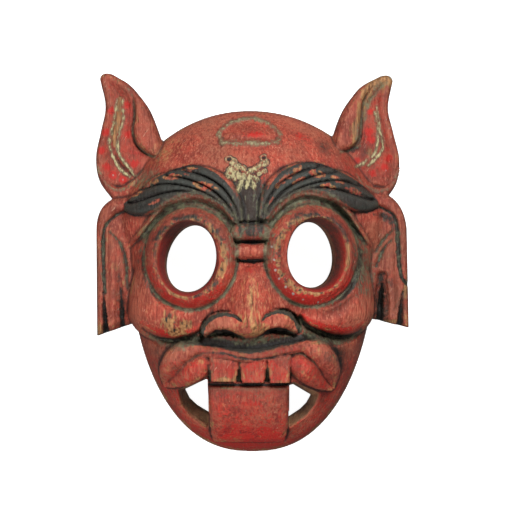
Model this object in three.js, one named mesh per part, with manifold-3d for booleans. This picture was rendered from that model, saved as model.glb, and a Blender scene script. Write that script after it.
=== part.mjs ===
// Carved wooden dance mask: a fanged guardian face with horn-like ears, cut from one block and hollowed out.
// Millimetres. It lies on its back, X to the viewer's right, Y towards the crown and Z out of the face.
// The origin is under the middle of the outline, on the plane of the flat back rim.
import * as THREE from "three";
import { mergeVertices } from "three/addons/utils/BufferGeometryUtils.js";
import Module from "manifold-3d";

const wasm = await Module();
wasm.setup();

// Driving dimensions of the block
const CROWN_Y = 123;
const CHIN_Y = -153.6;
const CROWN_RADIUS = 115;
const FACE_HALF_WIDTH = 100;
const CROWN_LEAN = -2;
const CHEEKBONE_Y = 5;
const FACE_DEPTH = 74;
const DEEPEST_Y = -5;
const WALL = 17;
const RIM_WALL = 15;

// Curvature of the block: higher powers give a flatter front and fuller sides
const JAW_POWER = 1.9;
const JAW_FULLNESS = 0.42;
const PROFILE_POWER = 2.4;
const SECTION_POWER = 2.6;
const OUTLINE_BLEND = 6;

// Eyes: round sockets that look a little outwards, bored right through
const EYE_TILT = THREE.MathUtils.degToRad(18);
const EYE_RING_OUTER = 37.5;
const EYE_RING_INNER = 25.5;
const EYE_RING_OVAL = 1.07;
const EYE_BORE_OVAL = 1.15;
const EYE_RING_HEIGHT = 8;
const EYE_GROOVE = 4;

// Mouth: a slab tongue between two fangs, under three teeth
const TONGUE = { left: -32.2, right: 27.8, top: -88, foot: -138, front: 79, thickness: 28 };
const TEETH = [
  { left: -31.7, right: -12.6, top: -69.5, foot: -90.3 },
  { left: -7.8, right: 8.6, top: -71, foot: -90.7 },
  { left: 13.9, right: 28.4, top: -67.5, foot: -92.2 },
];
const TOOTH_FRONT = 85;
const TOOTH_THICKNESS = 24;
const MOUTH_RECESS = { left: -34, right: 30, top: -77, foot: -92, floor: 70 };

// Side ears and horn-like ears, which stand behind the face
const EAR_BACK = 7;
const EAR_FRONT = 33;
const HORN_BACK = 7;
const HORN_FRONT = 30;
const HORN_FOOT_Y = 49.5;
const EDGE_ROUNDING = 3.5;

// What differs between the viewer's left and right. Along x, places are measured outwards from the midline.
const SIDES = [
  {
    sign: -1,
    eye: [47.6, 3.9],
    bore: [51.2, 1.9],
    cheek: [56, -37],
    browShift: [0, 0],
    ear: {
      shoulder: [111.3, 50],
      bend: [121.6, 43.5],
      side: [122.2, 26],
      foot: [122.2, -58.5],
      jaw: [93, -48],
    },
    earCreases: { slot: [116, -24, 114.5, -62], notch: [104.6, -8, 103, -58] },
    horn: { shift: [0, 0], lean: 0, widening: 0 },
    lobe: [[42, -66, 76], [54.2, -71, 72.5], [61.5, -80, 65], [66.5, -94, 53]],
    fang: [[33, -73, 78], [45.1, -82.8, 76], [54.1, -89.6, 69], [65.3, -95.5, 58]],
    gap: {
      front: [[-34, -88], [-56.5, -98.5], [-51.5, -111], [-44, -121], [-34, -129]],
      back: [[-34, -90.5], [-53.5, -101], [-50, -108.6], [-44, -113.8], [-34, -119.5]],
    },
  },
  {
    sign: 1,
    eye: [45.9, 6.5],
    bore: [49, 5.2],
    cheek: [54, -35.5],
    browShift: [-2, 2.6],
    ear: {
      shoulder: [107.7, 53.4],
      bend: [119.6, 46.6],
      side: [121.2, 27],
      foot: [123.6, -51],
      jaw: [95, -44],
    },
    earCreases: { slot: [118, -24, 115.5, -54], notch: [101.5, -7, 101.5, -52] },
    horn: { shift: [-6.2, -1.6], lean: -0.034, widening: -1.8 },
    lobe: [[40, -64, 76], [51.1, -70, 72.5], [57.8, -80, 65], [61.5, -96, 53]],
    fang: [[31, -72, 78], [41.2, -82.8, 76], [48.7, -91.1, 69], [59.3, -99, 58]],
    gap: {
      front: [[27.6, -93], [32, -90.5], [53.5, -102], [49.5, -112], [43, -121], [27.6, -132]],
      back: [[27.6, -96.5], [32, -95.5], [46.4, -105], [42.8, -111.8], [38, -116.6], [27.6, -124]],
    },
  },
];

// Helpers for joining and cutting

const MERGE_TOLERANCE = 1e-4;

function solid(geometry) {
  const bare = new THREE.BufferGeometry().setIndex(geometry.index);
  bare.setAttribute("position", geometry.attributes.position);
  const merged = mergeVertices(bare, MERGE_TOLERANCE);
  const vertProperties = merged.attributes.position.array;
  const triVerts = new Uint32Array(merged.index.array);
  const made = new wasm.Manifold(new wasm.Mesh({ numProp: 3, vertProperties, triVerts }));
  if (made.volume() > 0) return made;
  for (let i = 0; i < triVerts.length; i += 3) {
    [triVerts[i + 1], triVerts[i + 2]] = [triVerts[i + 2], triVerts[i + 1]];
  }
  return new wasm.Manifold(new wasm.Mesh({ numProp: 3, vertProperties, triVerts }));
}

function moveVertices(geometry, move) {
  const position = geometry.attributes.position;
  const point = new THREE.Vector3();
  for (let i = 0; i < position.count; i += 1) {
    point.fromBufferAttribute(position, i);
    move(point);
    position.setXYZ(i, point.x, point.y, point.z);
  }
  return geometry;
}

// The block: a dome over the face's outline

function smoothMin(a, b, blend) {
  return -blend * Math.log(Math.exp(-a / blend) + Math.exp(-b / blend));
}

function halfWidth(y) {
  const aboveCentre = Math.max(y - CROWN_Y + CROWN_RADIUS, 0);
  const crown = Math.sqrt(Math.max(CROWN_RADIUS ** 2 - aboveCentre ** 2, 0));
  const drop = THREE.MathUtils.clamp((CHEEKBONE_Y - y) / (CHEEKBONE_Y - CHIN_Y), 0, 1);
  const jaw = FACE_HALF_WIDTH * (1 - drop ** JAW_POWER) ** JAW_FULLNESS;
  return Math.max(smoothMin(crown, jaw, OUTLINE_BLEND), 0);
}

function midlineX(y) {
  return CROWN_LEAN * THREE.MathUtils.clamp(y / CROWN_Y, 0, 1) ** 2;
}

function midlineDepth(y) {
  const reach = y > DEEPEST_Y ? CROWN_Y - DEEPEST_Y : DEEPEST_Y - CHIN_Y;
  const along = Math.min(Math.abs(y - DEEPEST_Y) / reach, 1);
  return FACE_DEPTH * Math.sqrt(1 - along ** PROFILE_POWER);
}

function domeDepth(x, y) {
  const across = Math.min(Math.abs(x - midlineX(y)) / Math.max(halfWidth(y), 1), 1);
  return midlineDepth(y) * Math.sqrt(1 - across ** SECTION_POWER);
}

function hollowDepth(x, y) {
  return domeDepth(x, y) * (1 - WALL / FACE_DEPTH);
}

// Rounded masses that build up the face

const MOUNDS = [
  { name: "muzzle", at: [0, -74, 47], radii: [66, 34, 34] },
  { name: "nose root", at: [0, -30, 60], radii: [31, 36, 23] },
  ...SIDES.flatMap(({ sign, eye: [x, y] }) => [
    { name: "eye socket", at: [sign * x, y, 38], radii: [47, 49, 34] },
    { name: "temple", at: [sign * 78, 38, 18], radii: [30, 36, 30] },
  ]),
];

function moundDepth({ at, radii }, x, y) {
  const room = 1 - ((x - at[0]) / radii[0]) ** 2 - ((y - at[1]) / radii[1]) ** 2;
  return room > 0 ? at[2] + radii[2] * Math.sqrt(room) : 0;
}

function faceDepth(x, y) {
  const BLEND = 4;
  return MOUNDS.reduce((depth, mound) => {
    const height = moundDepth(mound, x, y);
    return height > 0 ? -smoothMin(-depth, -height, BLEND) : depth;
  }, domeDepth(x, y));
}

// A shell over the outline, its walls inside the block's by the given amounts, its underside below the floor
function shell(inset, depthAt, segments, rows) {
  const UNDERSIDE = -8;
  const FRONT_SHARE = 0.84;
  const top = CROWN_Y - inset.ends;
  const foot = CHIN_Y + inset.ends;
  const stretch = (CROWN_Y - CHIN_Y) / (top - foot);
  const narrowing = 1 - inset.sides / FACE_HALF_WIDTH;
  const geometry = new THREE.SphereGeometry(1, segments, rows);
  return moveVertices(geometry, (point) => {
    const atPole = Math.hypot(point.x, point.z) < 1e-6;
    const turn = (Math.atan2(point.z, -point.x) / (2 * Math.PI) + 1) % 1;
    const inFront = turn <= FRONT_SHARE;
    const angle = Math.PI * (inFront ? turn / FRONT_SHARE : 1 + (turn - FRONT_SHARE) / (1 - FRONT_SHARE));
    const across = -Math.cos(angle);
    const y = (top + foot) / 2 + ((top - foot) / 2) * point.y;
    const outerY = CHIN_Y + (y - foot) * stretch;
    const aside = Math.sign(across) * halfWidth(outerY) * Math.abs(across) ** (2 / SECTION_POWER);
    const middle = midlineX(outerY);
    const atEdge = Math.abs(Math.sin(angle)) < 1e-6;
    const depth = inFront ? depthAt(middle + aside, outerY) : UNDERSIDE * -Math.sin(angle);
    point.set(middle + (atPole ? 0 : aside * narrowing), y, atPole || atEdge ? 0 : depth);
  });
}

function blob(at, radii, segments, rows) {
  const geometry = new THREE.SphereGeometry(1, segments, rows);
  return geometry.scale(...radii).translate(...at);
}

// Carved ribs: the rings of a sphere laid across a curve, from a point at one end to a point at the other

function throughThree(start, middle, end) {
  return (t) => start * (1 - t) * (1 - 2 * t) + 4 * middle * t * (1 - t) + end * t * (2 * t - 1);
}

function rib(points, radiusAt, across, along) {
  const BLUNTNESS = 6;
  const curve = new THREE.CatmullRomCurve3(points, false, "centripetal");
  const outOfFace = new THREE.Vector3(0, 0, 1);
  return moveVertices(new THREE.SphereGeometry(1, across, along), (point) => {
    const t = Math.acos(THREE.MathUtils.clamp(point.y, -1, 1)) / Math.PI;
    const ring = Math.hypot(point.x, point.z);
    const tangent = curve.getTangentAt(t);
    const side = outOfFace.clone().cross(tangent).normalize();
    const up = tangent.clone().cross(side);
    const rounding = Math.sqrt(Math.max(1 - Math.abs(2 * t - 1) ** BLUNTNESS, 0));
    const reach = ring < 1e-6 ? 0 : (radiusAt(t) * rounding) / ring;
    const offset = side.multiplyScalar(point.x * reach).addScaledVector(up, point.z * reach);
    point.copy(curve.getPointAt(t)).add(offset);
  });
}

function onFace(places, lift) {
  return places.map(([x, y]) => new THREE.Vector3(x, y, faceDepth(x, y) + lift));
}

function inSpace(sign, places) {
  return places.map(([x, y, z]) => new THREE.Vector3(sign * x, y, z));
}

function outwards(sign, places, [dx, dy] = [0, 0]) {
  return places.map(([x, y]) => [sign * (x + dx), y + dy]);
}

// Eyes

function turned(profile, oval, sign, [x, y]) {
  const SEGMENTS = 20;
  const points = profile.map(([radius, height]) => new THREE.Vector2(radius, height));
  const geometry = new THREE.LatheGeometry(points, SEGMENTS).rotateX(Math.PI / 2);
  const seat = new THREE.Matrix4().makeRotationY(sign * EYE_TILT);
  seat.setPosition(sign * x, y, faceDepth(sign * x, y));
  return geometry.scale(1, oval, 1).applyMatrix4(seat);
}

function eyeGroove({ sign, eye }) {
  const edge = EYE_RING_OUTER + 2 * EYE_GROOVE;
  return turned([
    [0, -7],
    [EYE_RING_OUTER + 0.6 * EYE_GROOVE, -7],
    [edge, 12],
    [0, 12],
  ], EYE_RING_OVAL, sign, eye);
}

function eyeRing({ sign, eye }) {
  const crest = (EYE_RING_OUTER + EYE_RING_INNER) / 2;
  return turned([
    [0, -24],
    [EYE_RING_OUTER, -24],
    [EYE_RING_OUTER - 0.5, 1],
    [crest + 2.5, EYE_RING_HEIGHT],
    [EYE_RING_INNER + 2, EYE_RING_HEIGHT * 0.7],
    [EYE_RING_INNER - 4, -5],
    [0, -5],
  ], EYE_RING_OVAL, sign, eye);
}

function eyeBore({ sign, bore }) {
  return turned([
    [0, -70],
    [EYE_RING_INNER - 3.5, -70],
    [EYE_RING_INNER, 30],
    [0, 30],
  ], EYE_BORE_OVAL, sign, bore);
}

function lidHood({ sign, browShift }) {
  const path = [[95, 12], [85.5, 23], [78, 35.5], [66, 45], [49, 51.3], [36, 49], [24.5, 42], [13.5, 30]];
  return rib(onFace(outwards(sign, path, browShift), 3), throughThree(2, 6.5, 3), 6, 10);
}

// Brows: bands of combed hair, each a row of ridges that runs out from the root of the nose

const BROW_TOP = [
  [8.4, 34], [11, 46], [18, 59], [30, 69.5], [44, 75], [59, 72.5], [74, 66], [88, 58.5], [101, 46],
];
const BROW_FOOT = [
  [11, 29], [16, 36], [26, 45.5], [39, 52], [54, 53], [66, 48], [77, 41], [90, 36.5], [101, 40],
];
const BROW_HEIGHT = 7;
const BROW_RIDGES = 4;
const BROW_FURROW = 2.6;

function brow({ sign, browShift: [dx, dy] }) {
  const curveOf = (path) => new THREE.SplineCurve(path.map(([x, y]) => new THREE.Vector2(x + dx, y + dy)));
  const top = curveOf(BROW_TOP);
  const foot = curveOf(BROW_FOOT);
  const band = new THREE.BoxGeometry(1, 1, 1, 10, 2 * BROW_RIDGES, 1);
  return moveVertices(band, (point) => {
    const along = point.x + 0.5;
    const across = point.y + 0.5;
    const place = foot.getPoint(along).lerp(top.getPoint(along), across);
    const crest = (1 - Math.cos(2 * Math.PI * BROW_RIDGES * across)) / 2;
    const swell = Math.sqrt(1 - 0.8 * (2 * along - 1) ** 4) * (1 - 0.35 * (2 * across - 1) ** 2);
    const lift = BROW_HEIGHT * swell - BROW_FURROW * (1 - crest);
    point.set(sign * place.x, place.y, faceDepth(sign * place.x, place.y) + (point.z > 0 ? lift : -6));
  });
}

// Cheeks: full below the eyes, with a crease where they meet the muzzle and the jaw

function cheek({ sign, cheek: [x, y] }) {
  return blob([sign * x, y, 44], [37, 22, 31], 16, 10);
}

// Nose

function noseParts() {
  const bridge = [
    { y: 23, half: 14, radius: 6 },
    { y: 8.4, half: 12, radius: 5.6 },
  ].map(({ y, half, radius }) => {
    const places = [[-half, y], [0, y + 0.6], [half, y]];
    return rib(onFace(places, 4), throughThree(radius, radius, radius), 8, 6);
  });
  const ridge = inSpace(1, [[0, 1, 72], [0, -14, 78], [0, -32, 85], [-1, -54, 90]]);
  const wings = SIDES.map(({ sign }) => {
    const path = inSpace(sign, [[6, -46, 88], [17, -44, 87], [28, -46, 83], [36, -53, 75]]);
    return rib(path, throughThree(8, 9.5, 5), 9, 7);
  });
  return [...bridge, rib(ridge, throughThree(6, 12.5, 13), 10, 8), ...wings];
}

function nostril({ sign }) {
  return blob([sign * 20, -58, 88], [11, 6, 16], 10, 6);
}

// Mouth

function lip() {
  const path = [
    [-46, -66.5], [-31.6, -68.2], [-16.6, -70], [0, -71], [14, -69], [28.5, -65.8], [43.5, -63.5],
  ];
  return rib(onFace(path, 2), throughThree(4.5, 6, 4.5), 6, 9);
}

function lobe({ sign, lobe: path }) {
  return rib(inSpace(sign, path), throughThree(7, 10, 2.5), 8, 8);
}

function fang({ sign, fang: path }) {
  return rib(inSpace(sign, path), throughThree(10, 8.5, 1.5), 8, 8);
}

function tooth({ left, right, top, foot }) {
  const NARROWING = 0.84;
  const middle = (left + right) / 2;
  const block = new THREE.BoxGeometry(right - left, top - foot, TOOTH_THICKNESS);
  block.translate(middle, (top + foot) / 2, TOOTH_FRONT - TOOTH_THICKNESS / 2);
  return moveVertices(block, (point) => {
    if (point.y < (top + foot) / 2) point.x = middle + (point.x - middle) * NARROWING;
  });
}

function mouthRecess() {
  const { left, right, top, foot, floor } = MOUTH_RECESS;
  const box = new THREE.BoxGeometry(right - left, top - foot, FACE_DEPTH);
  return box.translate((left + right) / 2, (top + foot) / 2, floor + FACE_DEPTH / 2);
}

function tongue() {
  const { left, right, top, foot, front, thickness } = TONGUE;
  const DROOP = 30;
  const CROWNING = 5;
  const block = new THREE.BoxGeometry(right - left, top - foot, thickness, 4, 6, 1);
  block.translate((left + right) / 2, (top + foot) / 2, front - thickness / 2);
  return moveVertices(block, (point) => {
    const down = (top - point.y) / (top - foot);
    const across = (2 * point.x - left - right) / (right - left);
    const narrowing = 1 - 0.12 * down ** 4;
    point.x = (left + right) / 2 + ((across * (right - left)) / 2) * narrowing;
    point.z -= DROOP * down ** 2.2 + CROWNING * across ** 4;
  });
}

// The crease that parts the nose from the lip
function moustacheCrease() {
  const path = [[-42, -63], [-24, -62], [0, -63], [22, -61], [40, -58.5]];
  return rib(onFace(path, 1), throughThree(4, 5.5, 4), 6, 7);
}

// A funnel through the jaw: its outline at the face narrows to that at the throat, then runs straight back
function mouthGap({ gap: { front, back } }) {
  const FACE_Z = 60;
  const STATIONS = [-20, 34, 110];
  const flare = (STATIONS[2] - STATIONS[1]) / (FACE_Z - STATIONS[1]);
  const outline = new THREE.Shape(front.map(([x, y]) => new THREE.Vector2(x, y)));
  const funnel = new THREE.ExtrudeGeometry(outline, { depth: 1, steps: 2, bevelEnabled: false });
  return moveVertices(funnel, (point) => {
    const spans = front.map(([x, y]) => Math.hypot(x - point.x, y - point.y));
    const corner = spans.indexOf(Math.min(...spans));
    const station = Math.round(point.z * 2);
    const widening = station === 2 ? flare : 0;
    point.x = THREE.MathUtils.lerp(back[corner][0], front[corner][0], widening);
    point.y = THREE.MathUtils.lerp(back[corner][1], front[corner][1], widening);
    point.z = STATIONS[station];
  });
}

// Side ears

function slab(outline, back, front) {
  const geometry = new THREE.ExtrudeGeometry(outline, {
    depth: front - back - 2 * EDGE_ROUNDING,
    curveSegments: 2,
    bevelThickness: EDGE_ROUNDING,
    bevelSize: EDGE_ROUNDING,
    bevelOffset: -EDGE_ROUNDING,
    bevelSegments: 1,
  });
  return geometry.translate(0, 0, back + EDGE_ROUNDING);
}

function ear({ sign, ear: { shoulder, bend, side, foot, jaw } }) {
  const INNER_X = 80;
  const outline = new THREE.Shape();
  outline.moveTo(sign * INNER_X, shoulder[1] + 4);
  outline.lineTo(sign * shoulder[0], shoulder[1]);
  outline.quadraticCurveTo(sign * bend[0], bend[1], sign * side[0], side[1]);
  outline.lineTo(sign * foot[0], foot[1]);
  outline.lineTo(sign * jaw[0], jaw[1]);
  outline.lineTo(sign * INNER_X, jaw[1] + 4);
  outline.closePath();
  return slab(outline, EAR_BACK, EAR_FRONT);
}

function earRibs({ sign, ear: { shoulder, side, foot } }) {
  const crease = EAR_FRONT - 2.5;
  const helix = [
    [shoulder[0] - 8, shoulder[1] - 8],
    [side[0] - 8, side[1] + 7],
    [side[0] - 3.6, side[1] - 12],
    [foot[0] - 3.4, foot[1] + 6],
  ];
  const fold = [[109, 16], [107, -6], [109.5, -30], [109, foot[1] + 8]];
  const brace = [[111, 19], [103, 6], [98.5, -14], [97.5, -38]];
  const along = (path) => path.map(([x, y]) => new THREE.Vector3(sign * x, y, crease));
  return [
    rib(along(helix), throughThree(4, 5, 4.5), 6, 7),
    rib(along(fold), throughThree(4, 7, 6), 6, 7),
    rib(along(brace), throughThree(4, 7, 6), 6, 7),
  ];
}

function earCuts({ sign, earCreases: { slot, notch } }) {
  return [slot, notch].map(([x0, y0, x1, y1]) => {
    const middle = [(x0 + x1) / 2, (y0 + y1) / 2];
    const places = [[x0, y0], middle, [x1, y1]];
    const path = places.map(([x, y]) => new THREE.Vector3(sign * x, y, EAR_FRONT + 2));
    return rib(path, throughThree(1.5, 4.5, 6), 6, 5);
  });
}

// Horn-like ears on top: upright leaves with a scooped face

function hornPlace({ sign, horn: { shift, lean } }, x, y) {
  return new THREE.Vector2(sign * (x + shift[0] + lean * (y - HORN_FOOT_Y)), y + shift[1]);
}

function horn(side) {
  const at = (x, y) => hornPlace(side, x, y);
  const inner = (x, y) => hornPlace(side, x + side.horn.widening, y);
  const outline = new THREE.Shape();
  outline.moveTo(...at(74, HORN_FOOT_Y + 6).toArray());
  outline.lineTo(...at(71.5, 92).toArray());
  const innerEdge = [inner(75, 104), inner(82, 121.5), inner(90, 133), inner(98.5, 142)];
  outline.splineThru([...innerEdge, at(111.5, 149.8)]);
  outline.quadraticCurveTo(...at(120.5, 152.5).toArray(), ...at(121.5, 146).toArray());
  outline.splineThru([at(117, 124.5), at(120.5, 105), at(124.6, 84), at(121.8, 65), at(111, HORN_FOOT_Y)]);
  outline.closePath();
  return slab(outline, HORN_BACK, HORN_FRONT);
}

function alongHorn(side, path, z) {
  return path.map(([x, y]) => new THREE.Vector3(...hornPlace(side, x, y).toArray(), z));
}

function hornScoop(side) {
  const HOVER = 6;
  const path = [[113, 141], [106, 120], [109, 96], [106, 80], [96, 64]];
  return rib(alongHorn(side, path, HORN_FRONT + HOVER), throughThree(6, 14, 7), 9, 8);
}

function hornVein(side) {
  const path = [[105, 128], [106.5, 112], [109.5, 96], [105.5, 82], [96.5, 68]];
  return rib(alongHorn(side, path, HORN_FRONT - 6.5), throughThree(2, 3.2, 2), 4, 6);
}

// Forehead: the outline of a closed third eye

function thirdEye() {
  const arch = [[-25, 94], [-23, 104], [-13, 111.5], [-1.5, 114], [12, 110.5], [20.5, 102], [22, 94]];
  const bar = [[-24, 93], [-1.5, 92.6], [21, 93]];
  const lens = [[-19, 98], [-1.5, 101], [16, 98]];
  return [
    rib(onFace(arch, 0), throughThree(2, 2.6, 2), 4, 9),
    rib(onFace(bar, 0), throughThree(2.4, 3, 2.4), 4, 4),
    rib(onFace(lens, -5), throughThree(4, 8.5, 4), 6, 4),
  ];
}

// The whole mask

function carve() {
  const union = (parts) => wasm.Manifold.union(parts.map(solid));
  const block = union([
    shell({ sides: 0, ends: 0 }, faceDepth, 34, 24),
    ...SIDES.flatMap((side) => [ear(side), horn(side), cheek(side)]),
  ]);
  const hollows = union([
    ...SIDES.flatMap((side) => [eyeGroove(side), hornScoop(side), mouthGap(side)]),
    moustacheCrease(),
    mouthRecess(),
  ]);
  const raised = union([
    ...SIDES.flatMap((side) => [eyeRing(side), lidHood(side), brow(side), ...earRibs(side)]),
    ...SIDES.flatMap((side) => [lobe(side), fang(side), hornVein(side)]),
    ...noseParts(),
    ...thirdEye(),
    ...TEETH.map(tooth),
    lip(),
    tongue(),
  ]);
  const openings = union([
    shell({ sides: RIM_WALL, ends: RIM_WALL }, hollowDepth, 20, 12),
    ...SIDES.flatMap((side) => [eyeBore(side), nostril(side), ...earCuts(side)]),
  ]);
  const FLOOR_CUT = 400;
  const underFloor = new THREE.BoxGeometry(FLOOR_CUT, FLOOR_CUT, FLOOR_CUT);
  const below = solid(underFloor.translate(0, 0, -FLOOR_CUT / 2));
  return block.subtract(hollows).add(raised).subtract(openings).subtract(below);
}

function geometryOf(carved) {
  const { vertProperties, triVerts } = carved.getMesh();
  const geometry = new THREE.BufferGeometry();
  geometry.setAttribute("position", new THREE.BufferAttribute(vertProperties, 3));
  geometry.setIndex(new THREE.BufferAttribute(triVerts, 1));
  geometry.computeVertexNormals();
  return geometry;
}

function centred(geometry) {
  geometry.computeBoundingBox();
  const { min, max } = geometry.boundingBox;
  return geometry.translate(-(min.x + max.x) / 2, -(min.y + max.y) / 2, -min.z);
}

const paintedWood = new THREE.MeshStandardMaterial({ color: 0xa8483a, roughness: 0.62, metalness: 0 });
const mask = new THREE.Mesh(centred(geometryOf(carve())), paintedWood);
mask.name = "mask";

const part = new THREE.Group();
part.add(mask);

export default part;
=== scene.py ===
import math

import bmesh
import bpy
import numpy as np
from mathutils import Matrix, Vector, noise


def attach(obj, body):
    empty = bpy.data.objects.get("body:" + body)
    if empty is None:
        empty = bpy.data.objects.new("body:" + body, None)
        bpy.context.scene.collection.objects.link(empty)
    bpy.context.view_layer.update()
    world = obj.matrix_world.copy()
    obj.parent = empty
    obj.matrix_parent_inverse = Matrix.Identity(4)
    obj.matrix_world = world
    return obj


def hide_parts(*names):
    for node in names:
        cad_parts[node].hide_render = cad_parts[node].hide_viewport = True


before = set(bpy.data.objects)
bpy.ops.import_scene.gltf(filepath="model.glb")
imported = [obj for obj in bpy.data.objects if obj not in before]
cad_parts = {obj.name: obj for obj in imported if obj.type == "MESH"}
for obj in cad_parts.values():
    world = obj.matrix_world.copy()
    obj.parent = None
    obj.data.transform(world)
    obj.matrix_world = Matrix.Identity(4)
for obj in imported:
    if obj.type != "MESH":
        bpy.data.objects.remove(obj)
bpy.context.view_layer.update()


# The camera hangs straight above the mask, which lies on its back with the face up, and takes in a square of
# about 41 cm at the height of the ears. Places are in millimetres from the carving's middle line, and TO_MIDDLE
# takes them to the frame's origin.
MM = 0.001
TO_MIDDLE = (0.063, 1.70, 0.0)
CAMERA_AT = (2.96, 5.0, 1120.0)
VIEW_DEPTH = 1100.0
VIEW_WIDTH = 409.6
SENSOR = 36.0

lens = bpy.data.cameras.new("camera")
lens.sensor_width = SENSOR
lens.lens = SENSOR * VIEW_DEPTH / VIEW_WIDTH
camera = bpy.data.objects.new("camera", lens)
camera.location = [(at + shift) * MM for at, shift in zip(CAMERA_AT, TO_MIDDLE)]
bpy.context.collection.objects.link(camera)
bpy.context.scene.camera = camera


# The blank: a thick block of light wood, sawn to the outline of face, ears and horns, bored for the eyes
# and pierced beside the tongue. Its front is a finely divided sheet that the carving then shapes.
CROWN_Y, CHIN_Y, CHEEKBONE_Y = 123.0, -153.6, 5.0
CROWN_RADIUS, FACE_HALF_WIDTH, CROWN_LEAN = 115.0, 100.0, -2.0
JAW_POWER, JAW_FULLNESS, OUTLINE_BLEND = 1.9, 0.42, 6.0
HORN_FOOT_Y, EAR_ROOT_X = 49.5, 80.0
GRID, GRID_CELLS, GRID_MIDDLE_Y = 0.88, (288, 352), -1.7
PROBE, SNAP_ROUNDS, SMOOTH_ROUNDS = 0.05, 3, 3
# Of each side: eye, horn and ear are measured outwards from the middle of the face. A hole is its middle and
# half sizes, the far one also its lean. A horn is its shift out and up, its lean and its inner edge's shift.
LEFT = {
    "sign": -1,
    "eye": (47.6, 3.4),
    "near_hole": (-49.7, 3.1, 24.2, 29.2),
    "far_hole": (-47.3, 2.9, 19.4, 25.8, 3.0),
    "horn": (0, 0, 0, 0),
    "ear": ((111.3, 50), (124.0, 43.5), (123.8, 26), (123.2, -58.5), (93, -48)),
    "gap_front": [(-34, -88), (-45, -93.2), (-58.5, -99.5), (-56, -112), (-48.5, -123), (-34, -132)],
    "gap_back": [(-34, -90.5), (-43.5, -95.4), (-53.5, -101), (-50, -108.6), (-44, -113.8), (-34, -119.5)],
}
RIGHT = {
    "sign": 1,
    "eye": (45.9, 5.6),
    "near_hole": (50, 5.8, 23.8, 28.8),
    "far_hole": (44.8, 5.9, 17.5, 25.4, -0.9),
    "horn": (-6.2, -1.6, -0.034, -1.8),
    "ear": ((107.7, 53.4), (120.6, 46.6), (122.7, 27), (124.3, -52), (95, -45)),
    "gap_front": [(28.4, -93), (32, -90.5), (53.5, -102), (49.5, -112), (43, -121), (28.4, -131)],
    "gap_back": [(28.4, -96.5), (32, -95.5), (46.4, -105), (42.8, -111.8), (38, -116.6), (28.4, -123)],
}
SIDES = (LEFT, RIGHT)


def half_width(y):
    crown = np.sqrt(np.maximum(CROWN_RADIUS**2 - np.maximum(y - CROWN_Y + CROWN_RADIUS, 0) ** 2, 0))
    drop = np.clip((CHEEKBONE_Y - y) / (CHEEKBONE_Y - CHIN_Y), 0, 1)
    jaw = FACE_HALF_WIDTH * (1 - drop**JAW_POWER) ** JAW_FULLNESS
    narrower = -OUTLINE_BLEND * np.log(np.exp(-crown / OUTLINE_BLEND) + np.exp(-jaw / OUTLINE_BLEND))
    return np.maximum(narrower, 0)


def middle_x(y):
    return CROWN_LEAN * np.clip(y / CROWN_Y, 0, 1) ** 2


def spline(points, steps=7):
    """Points along a smooth curve through the given ones."""
    p = np.array(points, float)
    p = np.vstack([2 * p[0] - p[1], p, 2 * p[-1] - p[-2]])
    t = np.linspace(0, 1, steps, endpoint=False)[:, None]
    spans = [
        b + 0.5 * t * (c - a + t * (2 * a - 5 * b + 4 * c - d + t * (3 * (b - c) + d - a)))
        for a, b, c, d in zip(p, p[1:], p[2:], p[3:])
    ]
    return np.vstack(spans + [p[-2:-1]])


def bent(start, pull, end, steps=9):
    """Points along a curve that leaves start towards pull and reaches end from it."""
    t = np.linspace(0, 1, steps)[:, None]
    return (1 - t) ** 2 * np.array(start) + 2 * t * (1 - t) * np.array(pull) + t * t * np.array(end)


def outwards(side, points, shift=(0, 0)):
    return [(side["sign"] * (x + shift[0]), y + shift[1]) for x, y in points]


def on_horn(side, points, widening=0):
    dx, dy, lean, _ = side["horn"]
    return [(side["sign"] * (x + dx + widening + lean * (y - HORN_FOOT_Y)), y + dy) for x, y in points]


def face_outline():
    y = (CROWN_Y + CHIN_Y) / 2 + (CROWN_Y - CHIN_Y) / 2 * np.cos(np.linspace(0, math.pi, 90))
    right = np.column_stack([middle_x(y) + half_width(y), y])
    left = np.column_stack([middle_x(y) - half_width(y), y])
    return np.vstack([right, left[-2:0:-1]])


def horn_outline(side):
    inner = on_horn(side, [(75, 104), (82, 121.5), (90, 133), (98.5, 142)], side["horn"][3])
    inside_edge = spline(on_horn(side, [(71.5, 92)]) + inner + on_horn(side, [(111.5, 149.8)]))
    tip = bent(*on_horn(side, [(111.5, 149.8), (120.5, 152.5), (121.5, 146)]))
    outer = [(121.5, 146), (117, 124.5), (120.5, 105), (124.6, 84), (121.8, 65), (111, HORN_FOOT_Y)]
    root = on_horn(side, [(74, HORN_FOOT_Y + 6)])
    return np.vstack([root, inside_edge[:-1], tip[:-1], spline(on_horn(side, outer))])


def ear_outline(side):
    shoulder, bend, flank, foot, jaw = outwards(side, side["ear"])
    root = side["sign"] * EAR_ROOT_X
    curve = bent(shoulder, bend, flank)
    return np.vstack([[(root, shoulder[1] + 4)], curve, [foot, jaw, (root, jaw[1] + 4)]])


def hole_outline(hole):
    at_x, at_y, half_across, half_up = hole
    turn = np.linspace(0, 2 * math.pi, 60, endpoint=False)
    return np.column_stack([at_x + half_across * np.cos(turn), at_y + half_up * np.sin(turn)])


def inside(outline, px, py):
    """How far each point lies inside a closed outline, in mm, negative outside."""
    a = np.asarray(outline, float)
    nearest = np.full(px.shape, 1e9)
    within = np.zeros(px.shape, bool)
    for (ax, ay), (bx, by) in zip(a, np.roll(a, -1, axis=0)):
        ex, ey = bx - ax, by - ay
        t = np.clip(((px - ax) * ex + (py - ay) * ey) / max(ex * ex + ey * ey, 1e-9), 0, 1)
        nearest = np.minimum(nearest, (px - ax - t * ex) ** 2 + (py - ay - t * ey) ** 2)
        if ay != by:
            within ^= ((ay > py) != (by > py)) & (px < ax + (py - ay) * ex / ey)
    return np.where(within, 1, -1) * np.sqrt(nearest)


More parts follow.
